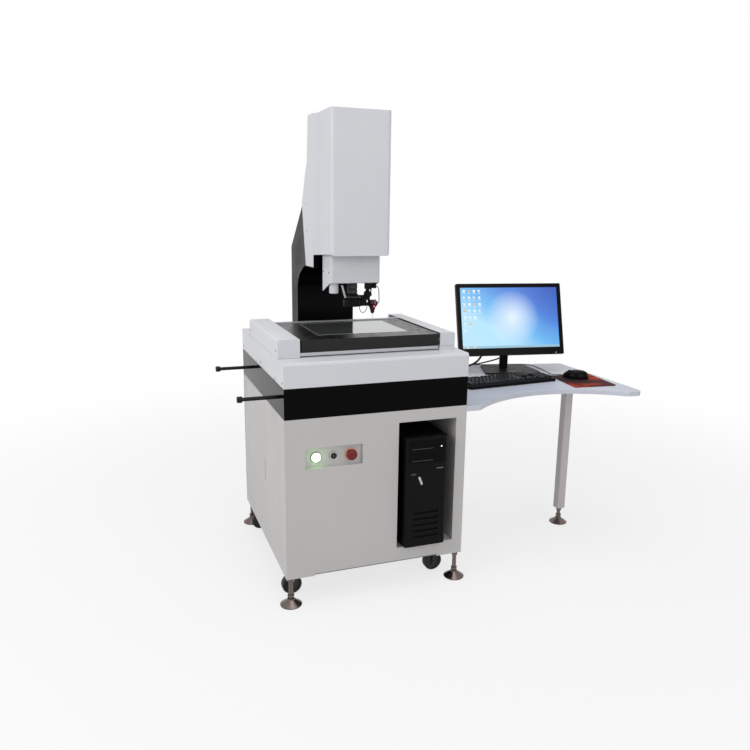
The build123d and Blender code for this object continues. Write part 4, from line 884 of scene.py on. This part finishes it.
def set_light():
    """A white studio: a bright surround and three large soft lamps."""
    scene = bpy.context.scene
    scene.view_settings.view_transform = "Standard"
    world = bpy.data.worlds.new("studio")
    scene.world = world
    world.use_nodes = True
    tree = world.node_tree
    background = tree.nodes["Background"]
    background.inputs["Color"].default_value = (1, 1, 1, 1)
    background.inputs["Strength"].default_value = 0.4
    seen = tree.nodes.new("ShaderNodeBackground")
    seen.inputs["Color"].default_value = (1, 1, 1, 1)
    seen.inputs["Strength"].default_value = 1.0
    mix = tree.nodes.new("ShaderNodeMixShader")
    any_seen = seen_rays(tree, "Is Camera Ray", "Is Transmission Ray", "Is Glossy Ray")
    tree.links.new(any_seen, mix.inputs["Fac"])
    tree.links.new(background.outputs[0], mix.inputs[1])
    tree.links.new(seen.outputs[0], mix.inputs[2])
    tree.links.new(mix.outputs[0], tree.nodes["World Output"].inputs["Surface"])

    for name, spot, aim, size, power in (
        ("key_lamp", (-3700, -900, 2700), (0, 300, 800), 2.6, 68),
        ("front_lamp", (900, -3600, 2300), (200, 300, 700), 2.6, 33),
        ("top_lamp", (300, 300, 4300), (200, 400, 700), 3.0, 44),
    ):
        data = bpy.data.lights.new(name, "AREA")
        data.shape = "SQUARE"
        data.size = size
        data.energy = power
        lamp = bpy.data.objects.new(name, data)
        bpy.context.scene.collection.objects.link(lamp)
        place = at(*spot)
        turn = (at(*aim) - place).to_track_quat("-Z", "Y").to_matrix().to_4x4()
        lamp.matrix_world = Matrix.Translation(place) @ turn


def make_floor():
    """A pale floor that keeps the object's shadow and fades to white away from it."""
    shape = bmesh.new()
    bmesh.ops.create_grid(shape, x_segments=1, y_segments=1, size=15.0)
    mesh = bpy.data.meshes.new("studio_floor")
    shape.to_mesh(mesh)
    shape.free()
    floor = bpy.data.objects.new("studio_floor", mesh)
    bpy.context.scene.collection.objects.link(floor)
    material = bpy.data.materials.new("studio_floor")
    material.use_nodes = True
    tree = material.node_tree
    shader = tree.nodes["Principled BSDF"]
    shader.inputs["Base Color"].default_value = (0.86, 0.86, 0.86, 1)
    shader.inputs["Roughness"].default_value = 0.9
    shader.inputs["Specular IOR Level"].default_value = 0.1
    white = tree.nodes.new("ShaderNodeEmission")
    white.inputs["Strength"].default_value = 1.0
    share = math_node(tree, "MULTIPLY")
    tree.links.new(seen_rays(tree, "Is Camera Ray", "Is Glossy Ray"), share.inputs[0])
    geometry = tree.nodes.new("ShaderNodeNewGeometry")
    distance = tree.nodes.new("ShaderNodeVectorMath")
    distance.operation = "LENGTH"
    tree.links.new(geometry.outputs["Position"], distance.inputs[0])
    fade = tree.nodes.new("ShaderNodeMapRange")
    fade.interpolation_type = "SMOOTHSTEP"
    for socket, value in (("From Min", 0.9), ("From Max", 3.6), ("To Min", 0.74), ("To Max", 1.0)):
        fade.inputs[socket].default_value = value
    tree.links.new(distance.outputs["Value"], fade.inputs["Value"])
    tree.links.new(fade.outputs["Result"], share.inputs[1])
    mix = tree.nodes.new("ShaderNodeMixShader")
    tree.links.new(share.outputs[0], mix.inputs["Fac"])
    tree.links.new(shader.outputs[0], mix.inputs[1])
    tree.links.new(white.outputs[0], mix.inputs[2])
    tree.links.new(mix.outputs[0], tree.nodes["Material Output"].inputs["Surface"])
    mesh.materials.append(material)


make_camera()
make_floor()
set_light()
computer_front()
stage_light()
recess_rings()
cover_screws()
glass_joint()
lens_details()
screen_picture()
keyboard()
mouse()
mouse_pad_print()
all_cords()
